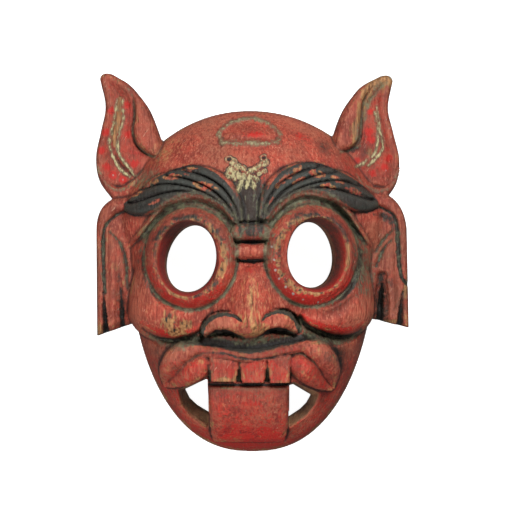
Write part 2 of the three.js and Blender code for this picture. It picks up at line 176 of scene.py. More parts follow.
SOLID_OUTLINES = [face_outline()] + [horn_outline(s) for s in SIDES] + [ear_outline(s) for s in SIDES]
OPEN_OUTLINES = [hole_outline(s["near_hole"]) for s in SIDES] + [s["gap_front"] for s in SIDES]


def inside_blank(px, py):
    wood = np.maximum.reduce([inside(outline, px, py) for outline in SOLID_OUTLINES])
    return np.minimum.reduce([wood] + [-inside(outline, px, py) for outline in OPEN_OUTLINES])


sheet = bmesh.new()
tag = sheet.verts.layers.int.new("place_on_sheet")
bmesh.ops.create_grid(sheet, x_segments=GRID_CELLS[0], y_segments=GRID_CELLS[1], size=0.5)
bmesh.ops.scale(sheet, vec=(GRID * GRID_CELLS[0], GRID * GRID_CELLS[1], 1), verts=sheet.verts)
bmesh.ops.translate(sheet, vec=(0, GRID_MIDDLE_Y, 0), verts=sheet.verts)
spots = np.array([v.co.to_tuple() for v in sheet.verts])
depth_in = inside_blank(spots[:, 0], spots[:, 1]).tolist()
sheet.verts.index_update()
sawn_off = [f for f in sheet.faces if sum(depth_in[v.index] for v in f.verts) < 0]
bmesh.ops.delete(sheet, geom=sawn_off, context="FACES")
pinched = [v for v in sheet.verts if sum(e.is_boundary for e in v.link_edges) > 2]
bmesh.ops.delete(sheet, geom=list({f for v in pinched for f in v.link_faces}), context="FACES")

# The sawn edge is moved onto the outline, and the points next to it are evened out.
edge_verts = [v for v in sheet.verts if v.is_boundary]
for _ in range(SNAP_ROUNDS):
    px, py = np.array([v.co.to_tuple() for v in edge_verts])[:, :2].T
    off = inside_blank(px, py)
    slope_x = (inside_blank(px + PROBE, py) - inside_blank(px - PROBE, py)) / (2 * PROBE)
    slope_y = (inside_blank(px, py + PROBE) - inside_blank(px, py - PROBE)) / (2 * PROBE)
    steep = np.maximum(slope_x**2 + slope_y**2, 0.25)
    for v, dx, dy in zip(edge_verts, off * slope_x / steep, off * slope_y / steep):
        v.co.x -= dx
        v.co.y -= dy
next_to_edge = {o for v in edge_verts for e in v.link_edges for o in e.verts if not o.is_boundary}
for _ in range(SMOOTH_ROUNDS):
    bmesh.ops.smooth_vert(sheet, verts=list(next_to_edge), factor=0.5, use_axis_x=True, use_axis_y=True)
sheet.verts.index_update()
x, y = np.array([v.co.to_tuple() for v in sheet.verts])[:, :2].T


# The rounded front of the block: a deep dome with swellings for the eye sockets, temples, muzzle and the
# root of the nose, roughed out with a gouge before any detail is cut.
FACE_DEPTH, DEEPEST_Y = 74.0, -5.0
PROFILE_POWER, SECTION_POWER = 2.4, 2.6
SWELLINGS = [((0, -74, 47), (66, 34, 34)), ((0, -30, 60), (31, 36, 23))]
for side in SIDES:
    SWELLINGS.append(((side["sign"] * side["eye"][0], side["eye"][1], 0), (53, 54, 72)))
    SWELLINGS.append(((side["sign"] * 74, 34, 0), (38, 44, 46)))
GOUGE_WIDTH, GOUGE_DEPTH, SWELLING_FILLET = 13.0, 0.7, 9.0


def higher(a, b, fillet):
    """The higher of two surfaces, with a fillet of about that many millimetres where they meet."""
    share = np.clip(0.5 + 0.5 * (a - b) / fillet, 0, 1)
    return b + (a - b) * share + fillet * share * (1 - share)


def ramp(value, start, end):
    """Rises smoothly from 0 at start to 1 at end."""
    t = np.clip((value - start) / (end - start), 0, 1)
    return t * t * (3 - 2 * t)


def dome(px, py):
    reach = np.where(py > DEEPEST_Y, CROWN_Y - DEEPEST_Y, DEEPEST_Y - CHIN_Y)
    along = np.minimum(np.abs(py - DEEPEST_Y) / reach, 1)
    across = np.minimum(np.abs(px - middle_x(py)) / np.maximum(half_width(py), 1), 1)
    return FACE_DEPTH * np.sqrt(1 - along**PROFILE_POWER) * np.sqrt(1 - across**SECTION_POWER)


def swelling(px, py, at, radii):
    room = 1 - ((px - at[0]) / radii[0]) ** 2 - ((py - at[1]) / radii[1]) ** 2
    return np.where(room > 0, at[2] + radii[2] * np.sqrt(np.maximum(room, 0)), 0)


def rounded_front(px, py):
    front = dome(px, py)
    for at, radii in SWELLINGS:
        mass = swelling(px, py, at, radii)
        front = np.where(mass > 0, higher(front, mass, SWELLING_FILLET), front)
    return front


def rough(across, along, seed):
    """Slow unevenness between about -1 and 1, with that many millimetres to a swell."""
    return np.array([noise.noise((a / across, b / along, seed)) for a, b in zip(x.tolist(), y.tolist())])


on_face = inside(SOLID_OUTLINES[0], x, y)
on_blank = np.maximum.reduce([inside(outline, x, y) for outline in SOLID_OUTLINES])
height = rounded_front(x, y)
height += GOUGE_DEPTH * rough(GOUGE_WIDTH, GOUGE_WIDTH * 2, 4.0) * ramp(on_face, 0, 10)
face = height.copy()


# Cheeks: full pads under the eyes, undercut where they meet the muzzle and the jaw. Old grime fills the folds,
# the black along each fold is soot and painted shadow under the pad, and the paint on the left one has flaked
# to the wood in two places.
CHEEK_SEAT, CHEEK_RADII, CHEEK_RISE, CHEEK_FILLET = 30.0, (38, 26, 41), 66.0, 5.0
CHEEK_MIDDLES = ((-60, -39), (58.5, -37.5))
CHEEK_FOLDS = (
    [(-38.6, -51.5), (-47, -57), (-58, -60), (-69.5, -59.4), (-77.5, -56.4), (-85, -51.5)],
    [(36.5, -41), (39.5, -46), (45, -50.4), (52.5, -53.8), (61, -56.4), (71, -57.4), (79, -56), (86, -51.5)],
)
FOLD_UNDERCUT, FOLD_DEPOSIT, FOLD_SOOT_AND_SHADE = (0.7, 1.0), (0.72, 0.95), (0.8, 1.15)
UPPER_CREASE = spline([(40, -37.5), (50, -40), (62, -39), (71, -34), (80, -25)])
FLAKED_CHEEK = (((-63.5, -45), (9, 12)), ((-51, -48), (9, 6)), ((-58, -53), (12, 5)))
BRIGHT_CHEEKS = (
    (0.75, (-55, -54), (30, 9), 0.0), (0.6, (60, -51), (26, 10), 0.2), (0.45, (-40, -30), (10, 12), 0.0),
)
# Coats laid on the front. The last one darkens its places, for grime and for painted shade in hollows, folds
# and overhung parts.
paint = {name: np.zeros_like(x) for name in ("black", "gold", "bright", "bare", "patina", "chalk", "grime_and_shade")}


def beside(path):
    """Each point's distance from a path, the share of it passed there, and 1 left or -1 right of it."""
    p = np.asarray(path, float)
    lengths = np.maximum(np.hypot(*np.diff(p, axis=0).T), 1e-6)
    starts = np.concatenate([[0], np.cumsum(lengths)])
    near, share, hand = np.full_like(x, 1e9), np.zeros_like(x), np.zeros_like(x)
    for (ax, ay), (bx, by), start, length in zip(p, p[1:], starts, lengths):
        ex, ey = bx - ax, by - ay
        t = np.clip(((x - ax) * ex + (y - ay) * ey) / length**2, 0, 1)
        away = np.hypot(x - ax - t * ex, y - ay - t * ey)
        closer = away < near
        near = np.where(closer, away, near)
        share = np.where(closer, (start + t * length) / starts[-1], share)
        hand = np.where(closer, np.sign(ex * (y - ay) - ey * (x - ax)), hand)
    return near, share, hand


def along(share, values):
    return np.interp(share, np.linspace(0, 1, len(values)), values)


# The hand's unsteadiness in millimetres, which keeps cuts and spots from running dead even.
unsteady = 0.55 * rough(5.0, 5.0, 40.0) + 0.45 * rough(1.9, 1.9, 41.0)


def cut(path, width, depth, sharpness=1.0):
    """How deep a gouged line goes at each point: width and depth are given along the path."""
    away, share, _ = beside(path)
    away = np.maximum(away + unsteady, 0)
    return along(share, depth) * np.maximum(1 - (away / along(share, width)) ** 2, 0) ** sharpness


def spot(at, radii, turn=0.0):
    """1 in the middle of an oval spot, falling to 0 at its edge."""
    c, s = math.cos(turn), math.sin(turn)
    dx, dy = x - at[0], y - at[1]
    off = np.hypot((dx * c + dy * s) / radii[0], (dy * c - dx * s) / radii[1])
    return np.maximum(1 - np.maximum(off + 1.2 * unsteady / (radii[0] + radii[1]), 0), 0)


def lay(coat, share):
    """Lays a coat over the front: where it is thicker already, it stays so."""
    paint[coat] = np.maximum(paint[coat], share)


def dab(coat, spots, fade=1.0):
    """Lays oval spots of a coat, each given by its thickness, middle, radii and turn."""
    for thickness, at, radii, turn in spots:
        lay(coat, thickness * spot(at, radii, turn) ** fade)


for i, (side, middle, fold) in enumerate(zip(SIDES, CHEEK_MIDDLES, map(spline, CHEEK_FOLDS))):
    drawn_down = middle[1] + (y - middle[1]) * np.where(y > middle[1], CHEEK_RADII[1] / CHEEK_RISE, 1)
    pad = swelling(x, drawn_down, (*middle, CHEEK_SEAT), CHEEK_RADII)
    height = np.where(pad > 0, higher(height, pad, CHEEK_FILLET), height)
    below = fold - (0.4 * side["sign"], 3.5)
    height -= FOLD_UNDERCUT[i] * cut(below, (4, 6.5, 5.5, 4, 3), (5, 8, 6, 4, 2))
    height -= cut(fold, (2, 3, 3.4, 2.6), (3, 6, 6, 4))
    lay("patina", FOLD_DEPOSIT[i] * cut(below, (4, 6, 5, 3.5, 3), (0.9, 1, 1, 1, 0.7)))
    # Black along the fold under the pad: soot and painted shadow.
    lay("black", FOLD_SOOT_AND_SHADE[i] * cut(fold - (0, 0.8), (1.6, 2.8, 2.8, 2), (1, 1, 0.9, 0.5)))
    lay("bright", 0.85 * cut(fold + (0, 5), (2, 5, 5.5, 3), (0.6, 1, 1, 0.6)))
height -= cut(UPPER_CREASE, (3, 5, 5, 3), (0.6, 2, 2, 0.6))
lay("grime_and_shade", 0.6 * cut(UPPER_CREASE + (1, 3.5), (4, 7, 8, 6), (0.5, 0.9, 1, 0.7)))
flecked = ramp(rough(3.2, 5.0, 15.0), -0.3, 0.25)
streaked = ramp(rough(1.7, 11.0, 16.0), -0.35, 0.2)
for at, radii in FLAKED_CHEEK:
    lay("bare", 1.9 * spot(at, radii) * (0.35 + 0.65 * streaked))
    lay("black", 0.85 * spot(at, np.array(radii) + 2) * (1 - streaked))
dab("bright", BRIGHT_CHEEKS)


# Horns: two upright leaves, hollowed like ears, each with a thick inner lip folded over. The hollow is painted
# bright red with a gilt vein down its middle and small dots; the tip of the right one is worn to the wood.
HORN_FRONT, HORN_ROUNDING, HORN_RIM, HORN_HOLLOW = 29.0, 5.5, 3.5, 5.5
HORN_LIP, HORN_LIP_FALL, HORN_FOOT_SEAT = 2.4, 2.5, 26.5
HORN_FOLDS = (
    [
        (-106, 146), (-99.9, 140.3), (-94.8, 131), (-93.6, 116.6),
        (-95.2, 104.7), (-92, 93.6), (-84.1, 86.5), (-74, 82),
    ],
    [(99.5, 143), (94.7, 137.9), (88.4, 128.4), (86.8, 114.2), (85.3, 98.4), (78.9, 90.5), (70, 87)],
)
HORN_FEET = (
    [(-122.8, 76.4), (-117.7, 64.7), (-111.2, 58.4), (-103.8, 57.4), (-93.6, 63.8), (-87, 71)],
    [(116.5, 74), (112, 63), (106, 57.4), (97, 57.2), (88, 62), (82, 70)],
)
GILT_VEINS = (
    [(-107.3, 129.7), (-110.2, 110.6), (-113.4, 97.5), (-112.6, 88.7), (-107.3, 76.7), (-97.7, 68)],
    [(-103.6, 129.7), (-102.9, 115), (-106.5, 101.8), (-107.3, 94.4), (-105.9, 85.6), (-94, 69.4)],
    [(99, 124.2), (101.5, 105.8), (104, 93), (101.4, 86), (95.8, 80.3), (92.6, 77)],
    [(97.7, 119.8), (100.2, 102), (99, 90.5), (95.8, 84)],
    [(91.4, 81.6), (88, 79), (81.8, 75.9)],
)
VEIN_WIDTHS = ((1.1, 1.5, 1.3), (1.0, 1.3, 1.3), (1.0, 1.4, 1.5), (0.8, 1.2, 1.4), (1.7, 1.6, 1.0))
BARE_VEIN = spline([(-105.5, 131), (-106.4, 116), (-109.5, 101), (-109.8, 93)])
HORN_DOTS = (
    (-111.7, 120.2), (-99.9, 125.3), (-116.1, 103.3), (-99.2, 101.8), (-119.6, 88.5), (-116.1, 76),
    (-111, 69.4), (-103.2, 65.7), (-94, 79), (93.6, 120), (93.5, 104), (95, 98), (84, 80.5), (106, 76),
    (108, 83), (96, 71),
)
CHALK_DOTS = ((-111, 69.4), (-103.2, 65.7), (106.6, 113.4), (108.9, 106.4), (110.4, 99.4), (106.6, 73.3))
WORN_BAND = spline([(108, 148), (101, 142.5), (92, 132.5), (86.5, 118.5), (81, 104), (81, 94)])


def rounded_slab(inset, front, rounding):
    """The front of a slab whose edge is rounded over, from how far each point lies inside its outline."""
    drop = rounding - np.sqrt(np.maximum(rounding**2 - np.maximum(rounding - inset, 0) ** 2, 0))
    return np.where(inset > -0.5, front - drop, 0)


def bead(path, radii, seat):
    """The top of a round ridge laid along a path, its middle at the height seat."""
    away, share, _ = beside(path)
    radius = along(share, radii)
    return np.where(away < radius, seat + np.sqrt(np.maximum(radius**2 - away**2, 0)), -50)


def band(value, middle, half):
    """1 where the value is in the middle of a band, falling to 0 at its edges."""
    return np.maximum(1 - np.abs(value - middle) / half, 0)


for side, fold, foot in zip(SIDES, map(spline, HORN_FOLDS), map(spline, HORN_FEET)):
    inset = inside(horn_outline(side), x, y)
    on_leaf = ramp(inset, -0.5, 0.5)
    away, share, hand = beside(fold)
    past_fold = -side["sign"] * hand * away
    lipped = ramp(past_fold, -0.6, 1.6)
    hollow = HORN_HOLLOW * ramp(inset, HORN_RIM - 1.5, HORN_RIM + 10) * (1 - lipped)
    lip = HORN_LIP * ramp(past_fold, -0.6, 6) - HORN_LIP_FALL * ramp(past_fold, 10, 24)
    lip *= lipped * along(share, (0.1, 0.6, 1, 1, 1)) * ramp(inset, 0, 5)
    slab = rounded_slab(inset, HORN_FRONT, HORN_ROUNDING) - hollow + lip
    slab -= cut(fold, (1.7, 1.9), (0.2, 1.2, 2.2, 2.2, 2.2))
    slab += cut(fold + (side["sign"] * 2.6, 0), (1.3, 1.4), (0.1, 0.8, 1.1, 1.1, 1.1))
    roll = bead(foot, (1.6, 2.2, 2.4, 2, 1.4), HORN_FOOT_SEAT)
    slab = np.where(inset > 0, higher(slab, roll, 1.2), slab)
    slab -= cut(foot + (0, 3.4), (1.4, 2, 1.4), (0.6, 1.6, 0.8))
    height = np.where(inset > -0.5, higher(height, slab, 1.5), height)
    lay("patina", 0.6 * cut(foot, (1.6, 2.4, 1.6), (0.8, 1, 0.8)) * on_leaf)
    lay("patina", 0.7 * band(away, 0, 2.4) * on_leaf * along(share, (0.2, 0.8, 1, 1, 1)))
    lay("bright", 0.42 * ramp(inset, 2, 7) * (1 - lipped) * ramp(y, 60, 72))
    lay("grime_and_shade", 0.45 * on_leaf)
    lay("bare", 0.3 * band(inset, 1, 2.2) * ramp(y, 58, 70) * flecked)
for vein, width in zip(map(spline, GILT_VEINS), VEIN_WIDTHS):
    height += cut(vein, width, (0.5, 0.7, 0.9))
    lay("gold", 0.72 * cut(vein, width, (0.7, 0.9, 1), 0.7))
    lay("patina", 0.8 * cut(vein, np.array(width) + 1.3, (0.8, 1, 1)))
lower_vein = spline(GILT_VEINS[0])[18:]
height -= cut(lower_vein + (2.2, 1.2), (0.8, 1.7, 1.7), (0.4, 2, 1.6))
lay("bare", 1.25 * cut(BARE_VEIN, (2, 3.2, 2.2), (0.9, 1.1, 0.8)))
for at in HORN_DOTS:
    lay("bright", 1.1 * spot(at, (4.6, 4.6)) ** 0.6)
    paint["grime_and_shade"] *= 1 - 0.5 * ramp(spot(at, (4.4, 4.4)), 0, 0.5)
for at in CHALK_DOTS:
    lay("chalk", 0.75 * spot(at, (1.4, 1.9)))
lay("bare", 1.5 * spot((103, 146), (22, 15), 0.5) * (0.5 + 0.5 * flecked))
lay("bare", 1.35 * cut(WORN_BAND, (6, 7.5, 7, 6, 6, 4.5), (1, 1, 1, 1, 1, 0.8)) * (0.35 + 0.65 * streaked))
lay("patina", 0.75 * cut(WORN_BAND + (3.5, 0), (3, 4, 4, 4, 4, 4), (0.5, 0.8, 1, 1, 1, 1)))
dab("black", [(0.95, (81.5, 90.5), (9, 5), 0.3)])
dab("bare", [(0.9, (94, 88), (6, 8), 0.0)])
dab("grime_and_shade", [(0.8, (93, 88), (8, 10), 0.0)])


# Side ears: flat slabs behind the face, cut with a rolled rim, a forked fold and two deep slots that run down
# to the lobe. The slots are black with soot and with painted shade deep inside them, the lines and the parts
# beside the face are darkened with grime and painted shade, and the lobes' corners are knocked bare.
EAR_FRONT, EAR_ROUNDING, EAR_ROLL, EAR_DISH = 32.0, 4.0, 1.5, 3.5
EAR_LINES = (
    ([(-100, 40.5), (-106, 38.6), (-113, 33), (-116.7, 27), (-118, 15), (-117.6, -6), (-116.7, -24)], 1.0),
    ([(-113.5, 24.5), (-108, 19), (-103.6, 12), (-100.4, 0.3), (-99.6, -17.8), (-100, -22)], 0.75),
    (
        [(97, 45), (104, 42.6), (111.6, 37), (114.6, 28), (115.5, 14), (116.6, -4), (119, -13), (123.5, -18)],
        1.05,
    ),
    ([(111, 25), (102.6, 15.7), (98, 8.5)], 0.7),
    ([(110.6, 18.1), (104.3, 10.7), (100.5, 2), (98.3, -3)], 0.75),
)
EAR_SLOTS = (
    ([(-118, -24), (-117, -40), (-116, -60)], (1.0, 2.2, 3.2), (2, 7, 12), 0.8),
    ([(-105.8, -9), (-104.6, -28), (-103, -56)], (1.6, 5.0, 6.0), (1.5, 4, 5), 0.5),
    ([(-105, -20), (-104, -32), (-102.8, -54)], (0.6, 2.0, 2.4), (1, 4, 5), 0.75),
    ([(119, -24), (118, -36), (116.8, -53)], (0.8, 2.4, 3.2), (2, 7, 11), 0.75),
    ([(102.8, -11), (102.6, -26), (102, -50)], (4.5, 6.5, 7.0), (4, 6, 7), 0.85),
    ([(103.6, -17), (102.4, -32), (101.6, -49)], (1.0, 2.6, 3.0), (3, 10, 12), 1.2),
)
EAR_SMEAR = spline([(95, 37.5), (103, 37), (109, 34.5), (113, 28), (114.5, 17)])
BARE_LOBES = (
    (1.5, (-121, -55), (4, 9), 0.0), (1.5, (-112, -57), (6, 3.4), 0.0), (1.5, (121.5, -22), (3, 9), 0.0),
    (1.5, (108, -47), (9, 2.5), 0.0), (0.75, (-108, -4), (6, 6), 0.0),
)
for side in SIDES:
    inset = inside(ear_outline(side), x, y)
    rolled = EAR_ROLL * ramp(inset, 2, 6) - EAR_DISH * ramp(inset, 7, 13)
    slab = rounded_slab(inset, EAR_FRONT, EAR_ROUNDING) + rolled
    height = np.where(inset > -0.5, higher(height, slab, 2.5), height)
    lay("bare", 0.35 * band(inset, 1, 2.2) * flecked)
    lay("grime_and_shade", 0.45 * ramp(inset, 0, 3) * ramp(on_face, 4, -4))
for path, weight in EAR_LINES:
    line = spline(path)
    height -= weight * cut(line, (1.3, 2.3, 2.1), (1.4, 3.8, 2.8))
    lay("black", weight * cut(line, weight * np.array((1.4, 2.6, 2.4)), (0.6, 1, 0.8)))
    lay("patina", 0.5 * cut(line, (2, 3.4, 3), (0.6, 1, 0.8)))
    lay("grime_and_shade", 0.6 * weight * cut(line, (4, 7, 6), (0.6, 1, 0.8)))
# Black along each slot, for soot and for the shade deep inside it.
for path, width, depth, darkening in EAR_SLOTS:
    slot = spline(path)
    height -= cut(slot, width, depth, 0.6)
    lay("black", darkening * cut(slot, np.array(width) + 1.0, (0.7, 1, 1)))
lay("black", 0.72 * cut(EAR_SMEAR, (2, 4.5, 5, 4, 2), (0.6, 0.9, 1, 0.9, 0.6)))
dab("bare", BARE_LOBES)


# Eyes: raised rings that look a little outwards, with a bevelled inner lip, bored right through for the wearer.
# A groove round each ring and the hollow under its lid hold a green-grey deposit; the lips are chipped. The
# hollow under each lid is painted black as shadow, and the bore's lip and the ring's outer side are darkened
# with grime, soot and painted shade.
EYE_TILT = math.radians(18)
RING_OVAL, RING_CREST, RING_FOOT = 1.03, 27.4, 37.8
RING_HEIGHT, RING_LIP_DROP, GROOVE_DEPTH, GROOVE_WIDTH, BANK_RISE = 6.8, 1.8, 3.6, 9.0, 14.0
EYELIDS = (
    [
        (-99.4, 11), (-93.5, 17), (-87.5, 22.6), (-81, 30), (-74.5, 37),
        (-65, 44.6), (-50, 50), (-36.5, 48.8), (-23, 41.6), (-12.7, 30),
    ],
    [
        (94, 12.8), (89.6, 18), (85, 23.8), (80, 30.4), (74, 38.4),
        (63, 47.4), (45, 52.4), (33, 50.4), (22.4, 43.2), (11.6, 31),
    ],
)
LID_LIFT, LID_EDGE = 0.6, (1.0, 2.2, 2.8, 3.2, 3.2, 3.2, 3.2, 3, 2.6, 1.6)
LID_RECESS = (0, 3, 6.5, 6.5, 4.5, 3, 2.5, 2.5, 2.5, 1.5)
LID_SHADOW = (0.3, 0.9, 1, 1, 0.9, 0.75, 0.65, 0.65, 0.65, 0.65)
LID_DEPOSIT, LID_GRIME_AND_SHADE = (0, 0.2, 0.5, 1, 1, 1, 1, 1, 1, 1), (0, 0.2, 0.6, 1, 1, 1, 1, 1, 1, 1)
LID_DUSK = (0, 0, 0, 0.6, 1, 1, 1, 1, 1, 1)
# Of each eye: the painted shadow under its lid, the red that is left, the soot and painted shade beside the
# ring, the deposit lost to them and the depth of a turned line.
EYE_WEAR_AND_SHADE = ((0.62, 0.7, 0.7, 0.3, 0.0), (1.0, 1.15, 1.25, 0.85, 1.2))
RING_DOTS = (
    (16.6, 2), (17.6, -5.5), (20.4, -12), (25.4, -18.4), (31, -23.6), (38.6, -28), (50.3, -30.4), (14.8, 12),
)
sway, tooling = 0.6 * rough(16, 16, 20.0), 0.5 * rough(7, 7, 30.0)
mottled = 0.6 * rough(4.0, 4.0, 21.0) + 0.7 * rough(13.0, 13.0, 22.0)
chips = 0.6 * rough(2.6, 2.6, 12.7) + 0.7 * rough(9.0, 9.0, 14.4)
fine_chips, fine_soot = rough(2.4, 2.4, 24.0), rough(2.2, 2.2, 23.0)
ringed = np.zeros_like(x)
for side, lid, wear_and_shade in zip(SIDES, map(spline, EYELIDS), EYE_WEAR_AND_SHADE):
    lid_shadow, red_left, outer_soot_and_shade, deposit_lost, turned_depth = wear_and_shade
    eye_x, eye_y = side["sign"] * side["eye"][0], side["eye"][1]
    outward = side["sign"] * (x - eye_x)
    seat = float(rounded_front(np.array([eye_x]), np.array([eye_y]))[0])
    facing = seat - math.tan(EYE_TILT) * outward
    radius = np.hypot(outward / math.cos(EYE_TILT), (y - eye_y) / RING_OVAL) + sway
    lip = RING_HEIGHT - RING_LIP_DROP * np.clip((RING_CREST - radius) / 3, 0, 1.3) ** 1.2
    fall = np.clip((radius - RING_CREST) / (RING_FOOT - RING_CREST), 0, 1) ** 1.9
    slope = RING_HEIGHT - (RING_HEIGHT + GROOVE_DEPTH) * fall
    ring = facing + np.where(radius < RING_CREST, lip, slope) + tooling
    bank = facing - GROOVE_DEPTH + BANK_RISE * np.clip((radius - RING_FOOT) / GROOVE_WIDTH, 0, 3) ** 1.05
    height = np.where(radius < RING_FOOT, ring, np.minimum(height, bank))
    height -= turned_depth * band(radius, RING_FOOT - 3.4, 1.2) * ramp(outward, 0, 20)

    away, share, hand = beside(lid)
    under = side["sign"] * hand * away
    in_recess = ramp(under, 0.2, 1.6) * ramp(under, 8, 3)
    height = higher(height, bead(lid, LID_EDGE, face + LID_LIFT), 1.6)
    height -= along(share, LID_RECESS) * in_recess
    # The hollow under the lid is painted black as its shadow, and grime and painted shade lie along the lid's
    # edge.
    lay("black", lid_shadow * in_recess * along(share, LID_SHADOW))
    lay("black", 0.6 * ramp(np.abs(under + 4), 5, 1) * along(share, LID_DUSK))
    lay("patina", 0.46 * ramp(under, -8, -2) * ramp(under, 0.5, -0.5) * along(share, LID_DEPOSIT))
    lay("grime_and_shade", 0.9 * ramp(np.abs(under), 8, 3) * along(share, LID_GRIME_AND_SHADE))
    lay("bare", 0.4 * band(under, -0.5, 1.6) * flecked)

    turn = np.arctan2(y - eye_y, outward)
    low_half = ramp(turn, 0.2, -0.7) * ramp(math.pi + turn, -0.1, 0.3)
    upper = ramp(np.sin(turn), -0.1, 0.5)
    in_groove = ramp(radius, RING_FOOT, RING_FOOT - 2)
    on_ring = ramp(radius, RING_CREST, RING_CREST + 3) * in_groove
    kept_red = spot((eye_x - 10 * side["sign"], eye_y - 29), (26, 17), -0.5 * side["sign"]) ** 0.4
    lay("bright", (0.32 + 0.32 * low_half + 0.5 * mottled) * on_ring)
    lay("bright", red_left * on_ring * kept_red)
    # Grime and painted shade on the bore's lip, heavier away from its lower half.
    inner_lip = ramp(radius, RING_CREST - 4, RING_CREST) * in_groove
    lay("grime_and_shade", (0.55 - 0.4 * low_half + 0.4 * mottled) * inner_lip)
    from_lip = np.abs(radius - RING_CREST - 0.5)
    chipped = ramp(from_lip, 4.5, 1.5)
    lay("bare", 0.9 * chipped * ramp(chips, -0.12, 0.25))
    lay("bare", 0.8 * chipped * ramp(fine_chips, 0.1, 0.4))
    lay("black", 0.6 * ramp(from_lip, 4, 1) * ramp(chips, 0, -0.3))
    lay("black", 0.66 * chipped * ramp(fine_soot, 0.1, 0.4))
    lay("black", 0.75 * upper * band(radius, RING_CREST + 3, 7) * ramp(mottled, -0.3, 0.2))
    lay("patina", 1.2 * band(radius, RING_FOOT + 0.6, 2.5))
    lay("patina", upper * band(radius, RING_FOOT + 3, 8) * (0.85 + 0.5 * mottled))
    # Soot and painted shade on the outer side of the ring, where the deposit gives way to them.
    sooted_and_shaded = ramp(outward, 12, 30) * ramp(y, 20, 4) * band(radius, RING_FOOT + 2, 4.5)
    lay("black", outer_soot_and_shade * sooted_and_shaded)
    paint["patina"] *= 1 - deposit_lost * sooted_and_shaded
    ringed = np.maximum(ringed, on_ring)
# Soot and painted shade down the temples beside both rings, with grime and shade over them; the smudge under
# the right ring is a stain and the green is deposit.
dab("black", [(0.66, (83.5, -3), (12, 34), 0.1), (0.5, (-87, 5), (6, 22), -0.1)], 0.5)
dab("black", [(0.62, (70, -26), (18, 8), 0.7)], 0.6)
dab("patina", [(0.72, (87, -5), (12, 32), 0.05)], 0.5)
dab("grime_and_shade", [(0.4, (84, -2), (15, 36), 0.05), (0.2, (-92, 6), (14, 34), 0.05)], 0.5)
for at in RING_DOTS:
    lay("chalk", 1.1 * spot(at, (1.8, 1.5), at[1]))


# Brows: bands of combed hair, cut as overlapping strands that sweep up and out from the root of the nose and
# painted black. The strands' crests are rubbed through to red and bare wood here and there.
BROW_TOP = [(8.4, 34), (11, 46), (18, 59), (30, 69.5), (44, 75), (59, 72.5), (74, 66), (88, 58.5), (101, 46)]
BROW_FOOT = [(101, 40), (90, 36.5), (77, 41), (66, 48), (54, 53), (39, 52), (26, 45.5), (16, 36), (11, 29)]
BROW_STRANDS = (
    ([(8.8, 33), (11.6, 45), (18.6, 57.4), (29, 66), (41, 71), (50, 72.6)], (2.5, 4.2, 5, 5, 4, 1.5)),
    ([(11, 31.6), (15, 42), (23.4, 53.6), (35, 61.6), (50, 67.4), (64, 69.4)], (2.2, 3.6, 4.6, 4.8, 4.4, 1.5)),
    (
        [(13.4, 32), (19.4, 41.6), (29, 50.6), (42, 57.8), (58, 62.8), (72, 64), (84, 60.5)],
        (2, 3, 4, 4.6, 5, 4.6, 1.6),
    ),
    ([(24, 44.6), (36, 51.6), (52, 56.6), (68, 57.6), (82, 54.8), (96, 49.6)], (1.6, 2.6, 3.8, 4.8, 4.8, 1.8)),
    ([(44, 53.4), (58, 52.6), (70, 48.6), (82, 44.4), (93, 42.6), (99, 43.4)], (1.2, 3.6, 5.6, 7, 6.2, 3)),
)
BROW_SHIFTS = ((0, 0), (-2, 2.6))
BROW_BED, BROW_LIFT, FURROW_WIDTH, FURROW_DEPTH = 1.0, 2.6, 1.6, 4.2
RUBBED_BROW = (
    ([(-98, 52), (-86, 56.5)], 2.6), ([(-68, 65.5), (-55, 66.5)], 2.4), ([(-44, 60.5), (-32, 56)], 3.2),
    ([(-24, 36), (-20, 31)], 2.4), ([(-54, 72), (-40, 71)], 1.8), ([(19, 58), (27, 66), (37, 73)], 2.8),
    ([(45, 69.5), (55, 67)], 3.4), ([(62, 66), (70, 62)], 2.2), ([(72, 58.5), (85, 53)], 2.4),
    ([(31, 60), (40, 65)], 1.8), ([(54, 59), (64, 57.5)], 2.8), ([(-88, 58.5), (-74, 63.5)], 2.6),
)
rubbed = np.zeros_like(x)
for side, shift in zip(SIDES, BROW_SHIFTS):
    top = spline(outwards(side, BROW_TOP, shift))
    in_brow = inside(np.vstack([top, spline(outwards(side, BROW_FOOT, shift))]), x, y)
    bed = face + BROW_BED * ramp(in_brow, -1.5, 2.5)
    height = np.where(in_brow > -1.5, higher(height, bed, 1.0), height)
    strands = [(spline(outwards(side, strand, shift)), radii) for strand, radii in BROW_STRANDS]
    for strand, radii in strands:
        height = higher(height, bead(strand, radii, face + BROW_LIFT), 0.5)
    for (upper, _), (strand, radii) in zip(strands, strands[1:]):
        away, share, _ = beside(strand)
        between = np.abs(away - np.minimum(beside(upper)[0], 12)) / FURROW_WIDTH
        in_furrow = np.maximum(1 - between**2, 0) * ramp(away, 9, 5) * ramp(in_brow, 0, 1.5)
        height -= FURROW_DEPTH * in_furrow * along(share, (0.3, 1, 1, 1, 0.6))
        crest = np.maximum(1 - away / (0.5 * along(share, radii)), 0)
        wander = np.array([noise.noise((4.5 * t, radii[2], side["sign"] * 3.0)) for t in share.tolist()])
        rubbed = np.maximum(rubbed, crest * np.clip(2.4 * wander - 0.1, 0, 1))
    worn_edge = cut(top + (0, 1.6), (1, 1.3, 1.3, 1), (0.6, 1, 1, 0.6)) * ramp(np.abs(x), 20, 32)
    lay("black", 1.1 * ramp(in_brow, -1.6, 0.8))
    lay("bare", 0.6 * worn_edge * flecked)
streaks = rough(2.2, 16.0, 17.0)
matted = spot((-1, 42), (21, 30)) ** 0.5
lay("black", 1.3 * matted * (0.95 + 0.5 * streaks))
lay("patina", 0.8 * matted * ramp(streaks, 0.05, -0.3))
lay("grime_and_shade", 0.8 * matted)
